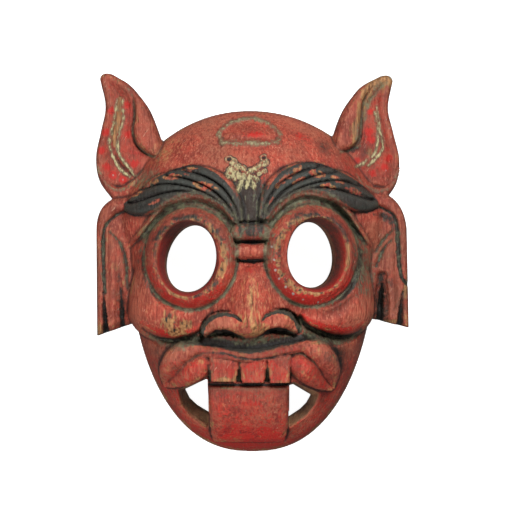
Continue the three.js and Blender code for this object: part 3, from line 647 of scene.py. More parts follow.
for path, width in RUBBED_BROW:
    rubbed = np.maximum(rubbed, 1.5 * cut(path, width * np.array((0.8, 1.4, 0.8)), (0.8, 1, 0.8)))
rubbed = np.minimum(rubbed, 1) * ramp(rough(4.0, 2.4, 18.0), -0.55, 0.1)
paint["black"] *= 1 - 0.65 * ramp(rubbed, 0.1, 0.8)
lay("bare", 0.72 * rubbed * ramp(rough(5.0, 5.0, 19.0), -0.3, 0.2))


# Nose: two rolls across its root, a straight ridge and flared wings over the nostrils, the most worn part of
# the mask. The carver cut the wings off from the cheeks with one deep curved stroke each.
ROOT_ROLLS, ROLL_SEAT = ((23, 14.4, 6.2), (8.4, 12.4, 5.8)), 3.5
ROOT_CREASES = (15.6, 1.4, 30.8)
RIDGE_Y, RIDGE_Z = (-60, -56.5, -53, -47, -32, -14, -4, 2), (66, 82, 92, 96.5, 93.5, 86.5, 80, 66)
RIDGE_FLANK, RIDGE_BLUNTNESS, RIDGE_PINCH, RIDGE_REACH, RIDGE_FILLET = 0.72, 3.5, 2.2, 26, 3
WINGS = (
    [(-9, -47), (-18, -45), (-28, -47), (-35, -52)],
    [(9, -46), (17, -43.8), (25.6, -45.4), (31.8, -50)],
)
WING_SEATS, WING_RADII = (84, 83.5, 80, 74), (6, 8, 8, 4.4)
WING_CUTS = (
    [(-7, -44.5), (-12.6, -40.6), (-19.4, -38.8), (-26.4, -39.8), (-33.2, -44), (-37.4, -49.6), (-38.4, -56)],
    [(6.6, -44.2), (11.4, -39.9), (18.2, -37.2), (24.9, -37.6), (30.9, -41.2), (34.6, -46.8), (36.4, -52.5)],
)
NOSTRILS = (
    [(-6, -57.4), (-11, -55.6), (-19.6, -53), (-27, -53.4), (-34, -56)],
    [(5, -56.4), (9, -54.2), (15.5, -51.6), (25, -52.4), (32.6, -55)],
)
for roll_y, half, radius in ROOT_ROLLS:
    level = float(rounded_front(np.array([0.0]), np.array([float(roll_y)]))[0])
    roll = [(-half + 4, roll_y), (half - 5, roll_y + 0.4)]
    height = higher(height, bead(roll, (radius, radius), level + ROLL_SEAT), 0.8)
for crease_y in ROOT_CREASES:
    crease = spline([(-13.5, crease_y + 0.6), (-1, crease_y - 0.5), (11.6, crease_y + 0.8)])
    height -= cut(crease, (1.2, 2, 1.2), (1.5, 3, 1.5))
    lay("black", 0.95 * cut(crease, (2, 2.2, 2), (0.6, 1, 0.6)))
aside = np.hypot(x + 0.6 * ramp(y, -20, -50), RIDGE_BLUNTNESS) - RIDGE_BLUNTNESS
ridge = np.interp(y, RIDGE_Y, RIDGE_Z) - RIDGE_FLANK * aside - RIDGE_PINCH * ramp(aside, 9, 16)
on_nose = (aside < RIDGE_REACH) & (y > RIDGE_Y[0]) & (y < RIDGE_Y[-1])
height = np.where(on_nose, higher(height, ridge, RIDGE_FILLET), height)
for wing, wing_cut, nostril in zip(map(spline, WINGS), map(spline, WING_CUTS), map(spline, NOSTRILS)):
    _, share, _ = beside(wing)
    height -= cut(wing_cut, (1.2, 2.2, 2.8, 3, 3, 2.8), (1, 4, 6, 7, 7, 5))
    height = higher(height, bead(wing, WING_RADII, along(share, WING_SEATS)), 1.0)
    bored = cut(nostril, (1.4, 2.2, 3.2, 3, 2), (3, 8, 12, 10, 4), 0.7)
    height -= bored
    # Painted shadow in the nostrils.
    lay("black", 0.12 * bored)
    lay("black", 1.35 * cut(wing_cut, (0.9, 1.5, 2, 2.4, 2.6, 2.5), (0.7, 0.9, 1, 1, 1, 1)))
    lay("patina", 0.45 * cut(wing_cut + (0, 0.8), (1, 1.6, 2.2, 2.4, 2.6, 2.5), (0.6, 0.9, 1, 1, 1, 1)))
# A thin painted shadow under the nose's tip joins the nostrils.
lay("black", 0.7 * cut([(-7, -58.4), (0, -59.2), (6, -57.6)], (1.6, 1.6), (1, 1)))
worn_ridge = band(x, 0, 7) * ramp(y, -4, -22) * ramp(y, -58, -54)
lay("bare", 0.85 * worn_ridge * (0.35 + 0.8 * streaked))
lay("bare", 0.75 * spot((0, -46), (22, 18)) * (0.3 + 0.9 * streaked))
lay("bare", 0.62 * spot((0, -24), (26, 24)) ** 0.6 * streaked)
dab("bright", [(0.7, (-1, -6), (13, 9), 0.0)])


# Mouth: a curled upper lip under a black moustache, three blunt teeth, fleshy corners that run into curved
# tusks, and a flat tongue that hangs to the chin between two gaps. All of it is cut from the same block.
MOUSTACHE = spline([(-52, -62), (-42, -60), (-24, -61.4), (-2, -65), (22, -60.6), (38, -57.4), (47, -57.6)])
LIP = spline(
    [(-46, -66.5), (-31.6, -68.4), (-16.6, -70.4), (0, -71.4), (14, -69.2), (28.5, -65.8), (43.5, -63.5)]
)
LIP_LIFT, LIP_RADII = 1.2, (3.6, 4.8, 5.4, 5.6, 5.4, 4.8, 3.6)
LIP_FOLD = spline(
    [(-43, -69.5), (-30, -68), (-20, -68.6), (-8, -72), (5, -72.6), (15, -71.2), (26, -68.6), (36, -66.4)]
)
LIP_LINE = spline([(-44, -70.5), (-30, -73.4), (-15, -75), (0, -76), (14, -74), (28, -70.6), (41, -68)])
MOUTH = [(-33.6, -74), (29.6, -72), (29.6, -91.6), (-33.6, -91.6)]
TEETH = (
    [(-32, -72), (-9.8, -74), (-12.4, -90.4), (-31, -90)],
    [(-9.0, -74), (11.2, -73.4), (9.2, -91), (-7.6, -90.8)],
    [(11.8, -73), (29.4, -70), (28, -92.4), (13.8, -91.4)],
)
TOOTH_FRONT, TOOTH_ROUNDING, TOOTH_BOW, MOUTH_FLOOR, MOUTH_RISE = 85.1, 1.4, 1.4, 68.0, 12.5
TONGUE_LEFT, TONGUE_RIGHT, TONGUE_TOP, TONGUE_FOOT = -33.2, 28.2, -88.0, -139.5
TONGUE_FRONT, TONGUE_FALL, TONGUE_CROWN, TONGUE_START = 79.0, 27.0, 3.4, -91.0
MOUTH_CORNERS = (
    [(-42, -66.5), (-52, -69.6), (-59.6, -77), (-64.6, -86), (-67.4, -95)],
    [(40, -64.5), (49.5, -68), (56, -76), (60, -86), (62.4, -96.6)],
)
CORNER_SEATS, CORNER_RADII = (74.5, 73, 68, 60, 51), (5.5, 9, 10, 8.6, 2.5)
TUSKS = (
    [(-37.5, -78), (-44, -82.4), (-52, -88), (-60, -92.6), (-66.5, -96)],
    [(34.5, -77), (40.6, -82), (47.6, -88.6), (54, -94), (61, -98.4)],
)
TUSK_SEATS, TUSK_RADII = (75, 74, 69, 61.5, 54), (8.5, 9, 7.6, 5, 1.6)

height -= cut(MOUSTACHE, (3, 6, 6.5, 6.5, 6.5, 6, 3), (2, 4, 4, 3, 4, 4, 2))
lay("black", 1.25 * cut(MOUSTACHE, (3, 4, 4.4, 4.4, 4.4, 4.2, 3), (0.7, 1, 1, 1, 1, 1, 0.7), 0.7))
lay("patina", 0.75 * cut(MOUSTACHE + (0, 5), (3, 4.5, 4.5, 3), (0.7, 1, 1, 0.7)))
dab("black", [(0.62, (0, -61), (38, 5), 0.0)], 0.5)
for corner, tusk in zip(map(spline, MOUTH_CORNERS), map(spline, TUSKS)):
    away, share, _ = beside(corner)
    height = higher(height, bead(corner, CORNER_RADII, along(share, CORNER_SEATS)), 1.2)
    lay("grime_and_shade", 0.2 * ramp(away, 12, 6))
    away, share, _ = beside(tusk)
    height = higher(height, bead(tusk, TUSK_RADII, along(share, TUSK_SEATS)), 2.2)
    parting, fading = away - along(share, TUSK_RADII), along(share, (1, 0.9, 0.4, 0.1, 0))
    height -= 1.2 * fading * band(parting, 0, 1.6) * ramp(height, 45, 55)
    lay("patina", 0.5 * fading * band(parting, 0, 2))
    lay("bright", 0.52 * ramp(away, 10, 5))
height = higher(height, bead(LIP, LIP_RADII, face + LIP_LIFT), 1.5)
height -= cut(LIP_FOLD, (0.8, 1.4, 1.4, 0.8), (0.5, 1.4, 1.4, 0.5))
lay("black", 0.75 * cut(LIP_FOLD, (1, 1.6, 1.6, 1), (0.6, 1, 1, 0.6)))
# The lip and the jaw's right side are darkened with grime and painted shade.
lay("grime_and_shade", 0.8 * cut(LIP + (0, 0.5), (3, 6, 6, 3), (0.8, 1, 1, 0.8)))
lay("bright", 0.55 * cut(LIP, (3, 6, 6, 3), (0.8, 1, 1, 0.8)))
dab("grime_and_shade", [(0.6, (60, -76), (20, 24), 0.0)], 0.6)
lay("bright", 0.48 * ramp(y, -64, -80))
in_mouth = inside(MOUTH, x, y)
mouth_share = ramp(in_mouth, 0, 1.5)
parted = MOUTH_FLOOR + MOUTH_RISE * ramp(y, -89, -79)
height = np.where((in_mouth > 0) & (y < -77), np.minimum(height, parted), height)
height -= cut(LIP_LINE, (1.6, 2, 2.2, 2.2, 2, 1.6), (1, 2.2, 2.6, 2.6, 2.2, 1))
for tooth in TEETH:
    middle = np.mean(tooth, axis=0)[0]
    inset = inside(tooth, x, y)
    bowed = TOOTH_BOW * ((x - middle) / 10) ** 2 * (inset > 0)
    front = rounded_slab(inset, TOOTH_FRONT, TOOTH_ROUNDING) - bowed
    height = np.where(inset > -0.2, np.maximum(height, front), height)
# Painted shade: the low parts of the mouth between the teeth turn black, and the mouth is darkened a little
# with grime and shade.
lay("black", 0.9 * mouth_share * ramp(height, 79, 74))
lay("patina", 0.75 * mouth_share * ramp(height, 82.4, 80) * ramp(y, -76, -78))
lay("bright", 0.52 * mouth_share)
lay("grime_and_shade", 0.25 * mouth_share)
lay("bare", 0.8 * spot((-22, -88), (10, 5)) * (0.4 + 0.6 * streaked))
dab("grime_and_shade", [(0.7, (-31, -81), (5, 12), 0.0)], 0.5)

down = np.clip((TONGUE_TOP - y) / (TONGUE_TOP - TONGUE_FOOT), 0, 1.2)
tongue_half = (TONGUE_RIGHT - TONGUE_LEFT) / 2 * (1 - 0.1 * down**4)
sideways = np.abs(x - (TONGUE_LEFT + TONGUE_RIGHT) / 2) / tongue_half
in_tongue = np.minimum((1 - sideways) * tongue_half, np.minimum(TONGUE_TOP - y, y - TONGUE_FOOT))
tongue = TONGUE_FRONT - TONGUE_FALL * down**2.2 - TONGUE_CROWN * sideways**4
tongue -= 2.2 * ramp(in_tongue, 2.5, 0) + 3 * ramp(y, -96, -91.6)
height = np.where((in_tongue > -0.4) & (y < TONGUE_START), tongue, height)
shaded = band(y, -92.9, 2.0) * (sideways < 1.02)
height -= 2.5 * shaded
lay("black", shaded)
lay("patina", 0.5 * ramp(y, -100, -95) * (sideways < 1) * (y < -94.5))
# Painted shade across the tongue's top, under the teeth.
lay("grime_and_shade", 0.55 * ramp(y, -112, -95) * (sideways < 1.02) * (y < -92))
lay("bright", 0.8 * ramp(y, -108, -136) * ramp(np.abs(x), 40, 20))
lay("bright", 0.72 * ramp(y, -90, -130) * ramp(on_face, 14, 4))
worn_rim = ramp(np.abs(on_face - 2.5), 3, 0.5) * ramp(y, -70, -100)
lay("bare", 0.28 * worn_rim)
lay("black", 0.3 * worn_rim)


# Forehead: the raised outline of a closed third eye and a small gilt sprig below it, both rubbed nearly flat.
# The sprig is a bunch of small leaves between two curls, each leaf a middle, two radii and a turn.
EYE_ARCH = spline([
    (-23.6, 93.3), (-26, 100.4), (-23, 105), (-16.4, 110.6),
    (-1.7, 114), (13, 109.4), (21.6, 100.6), (20.4, 93.3),
])
EYE_BAR = spline([(-24, 93.3), (-1.5, 92.4), (20.6, 93.3)])
EYE_LENS = spline([(-18, 98), (-1.5, 99.5), (15, 98.4)])
SPRIG_LEAVES = (
    ((-14.5, 77.7), (2.8, 1.7), 0.6), ((-16.7, 71.7), (3.4, 2.0), 1.0), ((-11.5, 74.3), (3.8, 1.9), -0.2),
    ((-7.2, 72.6), (3.0, 1.7), -0.5), ((-13.2, 69.0), (3.4, 2.1), 0.3), ((-18.4, 66.6), (3.0, 1.6), -0.7),
    ((-14.5, 64.7), (3.2, 1.7), -0.35), ((-10.0, 66.0), (3.4, 1.9), -1.0), ((-6.4, 66.4), (3.2, 1.7), -1.9),
    ((-8.4, 61.0), (3.7, 1.7), 1.15), ((-3.8, 59.7), (4.2, 1.7), 1.2), ((0.9, 59.7), (4.2, 1.8), -1.3),
    ((-2.1, 65.1), (3.2, 1.8), -1.65), ((3.0, 64.4), (2.4, 1.5), -0.8), ((-1.7, 70.2), (3.2, 1.6), 0.85),
    ((2.2, 72.4), (3.4, 1.7), 0.6), ((5.8, 74.6), (3.2, 1.7), 0.7), ((9.9, 76.4), (3.2, 1.7), 0.9),
    ((9.0, 70.4), (1.7, 1.3), 0.0), ((-10.2, 56.2), (2.3, 1.3), 1.0), ((5.6, 68.6), (2.0, 1.3), 0.6),
)
SPRIG_CURLS = (((-17.8, 79.6), 2.5), ((8.9, 80.9), 2.3))
LEAF_RISE, CURL_RISE = 1.3, 0.9
height += cut(EYE_LENS, (4, 7.5, 4), (1.6, 3, 1.6))
height -= cut(EYE_BAR + (0, 4.2), (1.6, 2, 1.6), (0.8, 1.4, 0.8))
for path, width in ((EYE_ARCH, (2.2, 2.5, 2.5, 2.2)), (EYE_BAR, (2.4, 2.9, 2.4))):
    height += cut(path, width, (1.7, 2.0, 1.7))
    lay("gold", 0.36 * cut(path, np.array(width) * 0.9, (1, 1, 1)))
    lay("patina", 0.85 * cut(path, np.array(width) + 0.9, (0.9, 0.9, 0.9)))
dab("bright", [(0.9, (2, 100), (15, 5), 0.0), (0.6, (38, 98), (17, 9), -0.5)])
in_sprig = np.zeros_like(x)
worn_gilt = 0.7 + 0.5 * ramp(rough(1.4, 1.4, 33.0), -0.4, 0.4)
for at, radii, turn in SPRIG_LEAVES:
    leaf = spot(at, np.array(radii) + 0.5, turn)
    height += LEAF_RISE * ramp(leaf, 0, 0.5)
    in_sprig = np.maximum(in_sprig, spot(at, np.array(radii) + 2.4, turn))
    lay("gold", 0.78 * ramp(leaf, 0.05, 0.45) * worn_gilt)
lay("gold", 0.5 * ramp(in_sprig, 0.2, 0.5) * worn_gilt)
for at, radius in SPRIG_CURLS:
    curl = band(np.hypot(x - at[0], y - at[1]), radius, 1.3)
    height += CURL_RISE * curl
    in_sprig = np.maximum(in_sprig, spot(at, (radius + 2.2, radius + 2.2)))
    lay("gold", 0.6 * curl)
    lay("black", spot(at, (radius, radius)) ** 0.5)
lay("black", 0.66 * ramp(in_sprig, 0.02, 0.3) * (1 - ramp(paint["gold"], 0.3, 0.7)))


# Tool marks, wood fibre and wear: fine ridges of raised grain run down the face, the crests that hands touch
# are worn, and grime has settled in the cuts. Smudges lie where smoke and handling left them. Light and shade
# are painted here too: the cuts, the broad hollows and the face's sloping edges are darkened as painted shade,
# some smudges are painted shade, and raised forms and the upper rim are painted paler as highlight.
FIBRE_ACROSS, FIBRE_ALONG, FIBRE_HEIGHT = 1.8, 22.0, 0.16
TOOLING_ACROSS, TOOLING_ALONG, TOOLING_HEIGHT = 6.0, 9.0, 0.35
RIM_THICKNESS = 1.5
FINE_PASSES, BROAD_PASSES = 13, 150
RIDGE_FULL, GROOVE_FULL, HOLLOW_SHADE_FULL, CROWN_FULL = 1.0, 1.1, 11.0, 6.0
SMUDGES = {
    "black": (
        (0.46, (56, 90), (6, 9), 0.5), (0.66, (66, -72), (9, 20), 0.3), (0.36, (-74, -72), (8, 12), -0.3),
        (0.5, (25, -101), (7, 10), 0.0), (0.95, (23.5, 68.5), (10, 5.5), 0.75), (0.6, (42, 50), (14, 4.5), 0.0),
        (0.52, (-37, 32), (16, 9), -0.3), (0.52, (53, 31), (15, 9), -0.5), (0.6, (108, -14), (5, 9), 0.0),
        (0.7, (118, -34), (6, 13), 0.0), (0.5, (89, 88), (7, 8), 0.0), (0.5, (59, -71), (10, 10), 0.0),
    ),
    "grime_and_shade": (
        (0.85, (57, 90), (9, 12), 0.5), (0.25, (68, 88), (22, 14), -0.8), (0.8, (68, -77), (11, 30), 0.3),
        (0.45, (-75, -78), (11, 24), -0.3), (0.6, (24, -104), (10, 17), 0.0), (0.3, (-30, 84), (30, 12), 0.5),
        (0.75, (22, -12), (11, 18), 0.3), (0.5, (-3, -6), (11, 7), 0.0), (0.7, (33, -79), (6, 9), 0.0),
        (0.85, (114, -26), (10, 30), 0.0), (0.9, (89, 88), (8, 9), 0.0), (0.6, (-22, -81), (12, 10), 0.0),
        (0.6, (23, -72), (12, 8), 0.0), (0.5, (-31, -118), (6, 14), 0.0),
    ),
    "patina": (
        (0.66, (-15, 12), (6, 26), 0.0), (0.66, (13, 13), (6, 26), 0.0), (0.68, (-85, 67), (16, 11), 0.4),
        (0.8, (14, 31), (5, 7), 0.0),
    ),
    "bright": ((0.45, (-6, -20), (18, 14), 0.0), (0.8, (25, -16), (10, 16), 0.4)),
    "bare": ((0.7, (-90, 62), (13, 6), 0.6), (0.55, (-70, 86), (20, 12), 0.6)),
}
for coat, smudges in SMUDGES.items():
    dab(coat, smudges, 0.5)
lower_face = ramp(y, -30, -60) * ramp(on_face, 6, 16)
lay("black", 0.36 * lower_face * ramp(rough(7.0, 9.0, 29.0), 0.0, 0.35))
lay("bare", 0.34 * lower_face * ramp(rough(6.0, 6.0, 31.0), 0.05, 0.4))
height += FIBRE_HEIGHT * rough(FIBRE_ACROSS, FIBRE_ALONG, 9.0)
height += TOOLING_HEIGHT * rough(TOOLING_ACROSS, TOOLING_ALONG, 2.0)
height = np.maximum(height, RIM_THICKNESS)
ties = np.array([(e.verts[0].index, e.verts[1].index) for e in sheet.edges])


def evened(values, passes):
    """The values after spreading each into its neighbours that many times."""
    count = np.bincount(ties.ravel(), minlength=len(values))
    for _ in range(passes):
        total = np.bincount(ties[:, 0], values[ties[:, 1]], len(values))
        total += np.bincount(ties[:, 1], values[ties[:, 0]], len(values))
        values = 0.5 * values + 0.5 * total / count
    return values


proud = height - evened(height, FINE_PASSES)
broad = height - evened(height, BROAD_PASSES)
# Painted shade: the face's sloping edges below the crown and its broad hollows are darkened, together with
# grime.
painted_edge_shade = 0.6 * ramp(on_blank, 10, 0) * ramp(y, 105, 75)
lay("grime_and_shade", np.maximum(np.clip(-broad / HOLLOW_SHADE_FULL, 0, 1), painted_edge_shade))
# The face's upper rim is painted paler, as dust and as a painted highlight where light from above falls.
paler_upper_rim = 0.9 * ramp(on_face, 18, 4) * ramp(on_face, -1, 1) * ramp(y, 62, 92)
paint["ridge"] = evened(np.clip(proud / RIDGE_FULL, 0, 1), 1)
paint["groove"] = evened(np.clip(-proud / GROOVE_FULL, 0, 1), 1)
# Raised forms are painted paler, as faded paint and as painted highlight, less so on the eye rings.
paint["crown"] = np.maximum(np.clip(broad / CROWN_FULL, 0, 1) * (1 - 0.7 * ringed), paler_upper_rim)
paint["raw"] = np.zeros_like(x)


# The back: hollowed out with a gouge to a thick shell and left as raw wood, with a flat sawn rim that the mask
# lies on. The ears and horns stop short of that rim.
WALL, RIM_WALL, WING_BACK, BACK_ROUNDING = 17.0, 15.0, 7.0, 3.0
GAP_SPREAD, EYE_SPREAD, HOLE_TAPER, WALL_ROWS = 12.0, 1.8, 0.08, 4
HOLLOW_GOUGE, HOLLOW_GOUGE_SIZE = 0.8, (9.0, 14.0)
back_x, back_y = x.copy(), y.copy()
for side in SIDES:
    near, far = side["near_hole"], side["far_hole"]
    across, up = (x - near[0]) / near[2], (y - near[1]) / near[3]
    pull = ramp(np.hypot(across, up), EYE_SPREAD, 1)
    back_x += pull * (far[0] + far[2] * across * (1 - HOLE_TAPER * up) + far[4] * up - x)
    back_y += pull * (far[1] + far[3] * up - y)
    front_gap = np.array(side["gap_front"] + side["gap_front"][:1], float)
    back_gap = np.array(side["gap_back"] + side["gap_back"][:1], float)
    away, share, _ = beside(front_gap)
    passed = np.concatenate([[0], np.cumsum(np.hypot(*np.diff(front_gap, axis=0).T))])
    pull = ramp(away, GAP_SPREAD, 0)
    for held, axis in ((back_x, 0), (back_y, 1)):
        held += pull * np.interp(share, passed / passed[-1], back_gap[:, axis] - front_gap[:, axis])
stretch = (CROWN_Y - CHIN_Y) / (CROWN_Y - CHIN_Y - 2 * RIM_WALL)
outer_y = CHIN_Y + (back_y - CHIN_Y - RIM_WALL) * stretch
outer_x = middle_x(outer_y) + (back_x - middle_x(outer_y)) / (1 - RIM_WALL / FACE_HALF_WIDTH)
in_length = (outer_y < CROWN_Y) & (outer_y > CHIN_Y)
hollow = np.where(in_length, dome(outer_x, np.clip(outer_y, CHIN_Y, CROWN_Y)) * (1 - WALL / FACE_DEPTH), 0)
hollow += HOLLOW_GOUGE * rough(*HOLLOW_GOUGE_SIZE, 6.0) * ramp(hollow, 2, 12)
off_face = ramp(on_face, -0.3, -2.0)
lifted = BACK_ROUNDING * ramp(on_blank, BACK_ROUNDING, 0)
back_z = np.maximum(hollow * (1 - off_face), 0) + off_face * (WING_BACK + lifted)

front_verts = sheet.verts[:]
twin = bmesh.ops.duplicate(sheet, geom=sheet.verts[:] + sheet.edges[:] + sheet.faces[:])["vert_map"]
back_verts = [twin[v] for v in front_verts]
bmesh.ops.reverse_faces(sheet, faces=list({f for v in back_verts for f in v.link_faces}))
for v, z in zip(front_verts, height.tolist()):
    v.co.z = z
for v, place in zip(back_verts, np.column_stack([back_x, back_y, back_z]).tolist()):
    v.co = place

# Each rim of the front is joined to its twin on the back by a wall of a few rows.
loose_edges = {e for e in sheet.edges if e.is_boundary}
front_set = set(front_verts)
rims = []
while loose_edges:
    start = next(e for e in sheet.edges if e in loose_edges and e.verts[0] in front_set)
    loop, reach = [], [start]
    while reach:
        edge = reach.pop()
        if edge in loose_edges:
            loose_edges.discard(edge)
            loop.append(edge)
            reach += [e for v in edge.verts for e in v.link_edges if e in loose_edges]
    ends = [(twin[edge.verts[0]], twin[edge.verts[1]]) for edge in loop]
    across = [next(e for e in here.link_edges if there in e.verts) for here, there in ends]
    loose_edges.difference_update(across)
    rims.append((loop, across))
for i, (front, back) in enumerate(zip(front_verts, back_verts), 1):
    front[tag], back[tag] = i, -i
walls = []
for loop, across in rims:
    walls += bmesh.ops.bridge_loops(sheet, edges=loop + across)["faces"]
risers = list({e for f in walls for e in f.edges if (e.verts[0] in front_set) != (e.verts[1] in front_set)})
rows = bmesh.ops.subdivide_edges(sheet, edges=risers, cuts=WALL_ROWS - 1, use_grid_fill=True)
for part in rows["geom_inner"]:
    if isinstance(part, bmesh.types.BMVert):
        part[tag] = 0
bmesh.ops.recalc_face_normals(sheet, faces=sheet.faces[:])
for f in sheet.faces:
    f.smooth = True
bmesh.ops.translate(sheet, vec=TO_MIDDLE, verts=sheet.verts)
bmesh.ops.scale(sheet, vec=(MM, MM, MM), verts=sheet.verts)

tags = np.array([v[tag] for v in sheet.verts])
front_at = np.flatnonzero(tags > 0)[np.argsort(tags[tags > 0])]
back_at = np.flatnonzero(tags < 0)
wall_at = np.flatnonzero(tags == 0)
sheet.verts.layers.int.remove(tag)
mesh = bpy.data.meshes.new("carved_mask")
sheet.to_mesh(mesh)
sheet.free()
carved = bpy.data.objects.new("carved_mask", mesh)
bpy.context.collection.objects.link(carved)


# The walls of the bored eyes are painted too, dark red, with painted shade deeper down each bore and under its
# overhanging top; those of the mouth gaps are raw wood like the back, grimed in patches. Every wall is also a
# little darkened as painted shade. The smooth hollow needs far fewer faces than the carving, so it is thinned.
EYE_WALL_REACH, WALL_WEAR, THINNED_SHARE = 1.3, 5.0, 0.62
EYE_WALL_SHADE = (0.65, 1.2)
places = np.empty(len(mesh.vertices) * 3)
mesh.vertices.foreach_get("co", places)
wall_x, wall_y, wall_z = places.reshape(-1, 3)[wall_at].T / MM - np.array(TO_MIDDLE)[:, None]
eye_wall, deep_wall, gap_wall = np.zeros((3, len(wall_at)))
# Painted shade on each eye's wall: stronger deep down the bore and under its top, and on the right eye.
for side, darkening in zip(SIDES, EYE_WALL_SHADE):
    hole_x, hole_y, half_across, half_up = side["near_hole"]
    in_eye = np.hypot((wall_x - hole_x) / half_across, (wall_y - hole_y) / half_up) < EYE_WALL_REACH
    sunk, overhung = darkening * ramp(wall_z, 67, 54), 1.1 * ramp(wall_y - hole_y, 8, 20)
    eye_wall = np.maximum(eye_wall, in_eye)
    deep_wall = np.maximum(deep_wall, in_eye * np.maximum(sunk, overhung))
    gap_wall = np.maximum(gap_wall, inside(side["gap_front"], wall_x, wall_y) > -2)
worn = [noise.noise((a / WALL_WEAR, b / WALL_WEAR, 28.0)) for a, b in zip(wall_x.tolist(), wall_y.tolist())]
worn = np.array(worn)
on_back = {"raw": 1.0}
on_walls = {
    "raw": gap_wall * (0.5 + 0.4 * ramp(worn, -0.1, 0.25)),
    "bare": 0.55 * gap_wall,
    "bright": 0.75 * eye_wall,
    "grime_and_shade": 0.25 + deep_wall + gap_wall * (0.7 * ramp(worn, -0.05, -0.35) - 0.15),
}
for name, values in paint.items():
    field = np.zeros(len(mesh.vertices))
    field[front_at] = values
    field[back_at] = on_back.get(name, 0.0)
    field[wall_at] = on_walls.get(name, 0.0)
    mesh.attributes.new(name, "FLOAT", "POINT").data.foreach_set("value", field)
hollowed = carved.vertex_groups.new(name="hollow")
pairs = np.empty(len(mesh.edges) * 2, int)
mesh.edges.foreach_get("vertices", pairs)
pairs = pairs.reshape(-1, 2)
walled = pairs[np.isin(pairs, wall_at).any(axis=1)].ravel()
hollowed.add(np.setdiff1d(back_at, walled).tolist(), 1.0, "REPLACE")
thinning = carved.modifiers.new("thinning", "DECIMATE")
thinning.vertex_group = "hollow"
thinning.ratio = THINNED_SHARE
thinned = bpy.data.meshes.new_from_object(carved.evaluated_get(bpy.context.evaluated_depsgraph_get()))
carved.modifiers.clear()
carved.vertex_groups.clear()
carved.data = thinned
thinned.name = "carved_mask"


# Old milk-based paint on carved wood: a dull brick red, unevenly faded and brighter where it was sheltered,
# black on the hair, gilt on the ornaments, rubbed through to tan wood on the crests and grimed in the cuts.
# Light and shade are painted in as well: cuts, hollows and overhung places are darkened as painted shade, and
# raised forms and the crests of the hair are painted paler as highlight.
# Grain, specks and scratches are finer on the real one, and are drawn as coarse as they need to be to show.
FADED_RED, DEEP_RED, PALE_RED, BRIGHT_RED = "#A64130", "#762A1F", "#B96A51", "#AC1A14"
FADED_BROWN, DUSKY_BROWN, SCRATCH, CHALK, GRIME_AND_SHADE_BROWN = "#8F5B44", "#2E1A14", "#D9A98C", "#938E86", "#36291F"
BROWN_WOOD, TAN_WOOD, DARK_WOOD, RAW_WOOD = "#53361F", "#B48455", "#5E4632", "#B58E6A"
DEEP_BLACK, WORN_AND_LIT_BLACK, DULL_GILT, GILT = "#0E1211", "#29332F", "#5C5640", "#ABA177"
OLIVE_DEPOSIT, GREEN_DEPOSIT = "#37352B", "#6E6E54"
BUMP_DEPTH = 0.75
# Each pattern's swell in millimetres, its turn, detail and roughness.
PATTERNS = {
    "stains": ((48, 48, 48), 0, 4, 0.6),
    "patches": ((13, 13, 13), 0, 6, 0.62),
    "flakes": ((4.5, 4.5, 4.5), 0, 5, 0.7),
    "pits": ((2.6, 2.6, 2.6), 0, 5, 0.8),
    "specks": ((1.6, 4.2, 1.6), 0, 3, 0.6),
    "fibre": ((1.8, 18, 1.8), 0, 4, 0.6),
    "scratches": ((0.8, 13, 0.8), -0.55, 2, 0.5),
}
# Where a pattern shows: its name, the values at which it starts and is full, and how strong it is then.
SHOWING = {
    "faded": ("patches", 0.36, 0.62, 1.0),
    "touched": ("patches", 0.42, 0.62, 0.7),
    "pale": ("specks", 0.5, 0.64, 0.7),
    "stained": ("stains", 0.46, 0.66, 0.55),
    "streaky": ("fibre", 0.5, 0.38, 0.8),
    "scratched": ("scratches", 0.68, 0.75, 0.6),
    "pitted": ("pits", 0.6, 0.66, 0.65),
    "grained": ("fibre", 0.3, 0.62, 1.0),
    "greened": ("flakes", 0.38, 0.66, 1.0),
    "glinting": ("specks", 0.4, 0.56, 1.0),
}
# Where a coat ends: the middle and half width of its edge, how much it covers, and how far its edge crumbles.
COAT_EDGES = {
    "bright": (0.55, 0.2, 0.9, 1.4),
    "bare": (0.6, 0.22, 0.92, 1.4),
    "black": (0.48, 0.2, 0.96, 0.9),
    "patina": (0.56, 0.3, 0.85, 1.3),
    "gold": (0.48, 0.2, 0.95, 0.6),
}


def colour(code):
    """A colour written as sRGB hex, as the linear values that shaders use."""
    parts = [int(code[i:i + 2], 16) / 255 for i in (1, 3, 5)]
    return [c / 12.92 if c <= 0.04045 else ((c + 0.055) / 1.055) ** 2.4 for c in parts] + [1.0]


material = bpy.data.materials.new("worn_red_paint_on_wood")
material.use_nodes = True
tree = material.node_tree
tree.nodes.clear()


def add(kind, sockets, **settings):
    """Adds a node with its settings; each socket gets a link or a constant."""
    node = tree.nodes.new("ShaderNode" + kind)
    for name, value in settings.items():
        setattr(node, name, value)
    for socket, value in sockets.items():
        if isinstance(value, bpy.types.NodeSocket):
            tree.links.new(value, node.inputs[socket])
        else:
            node.inputs[socket].default_value = value
    return node


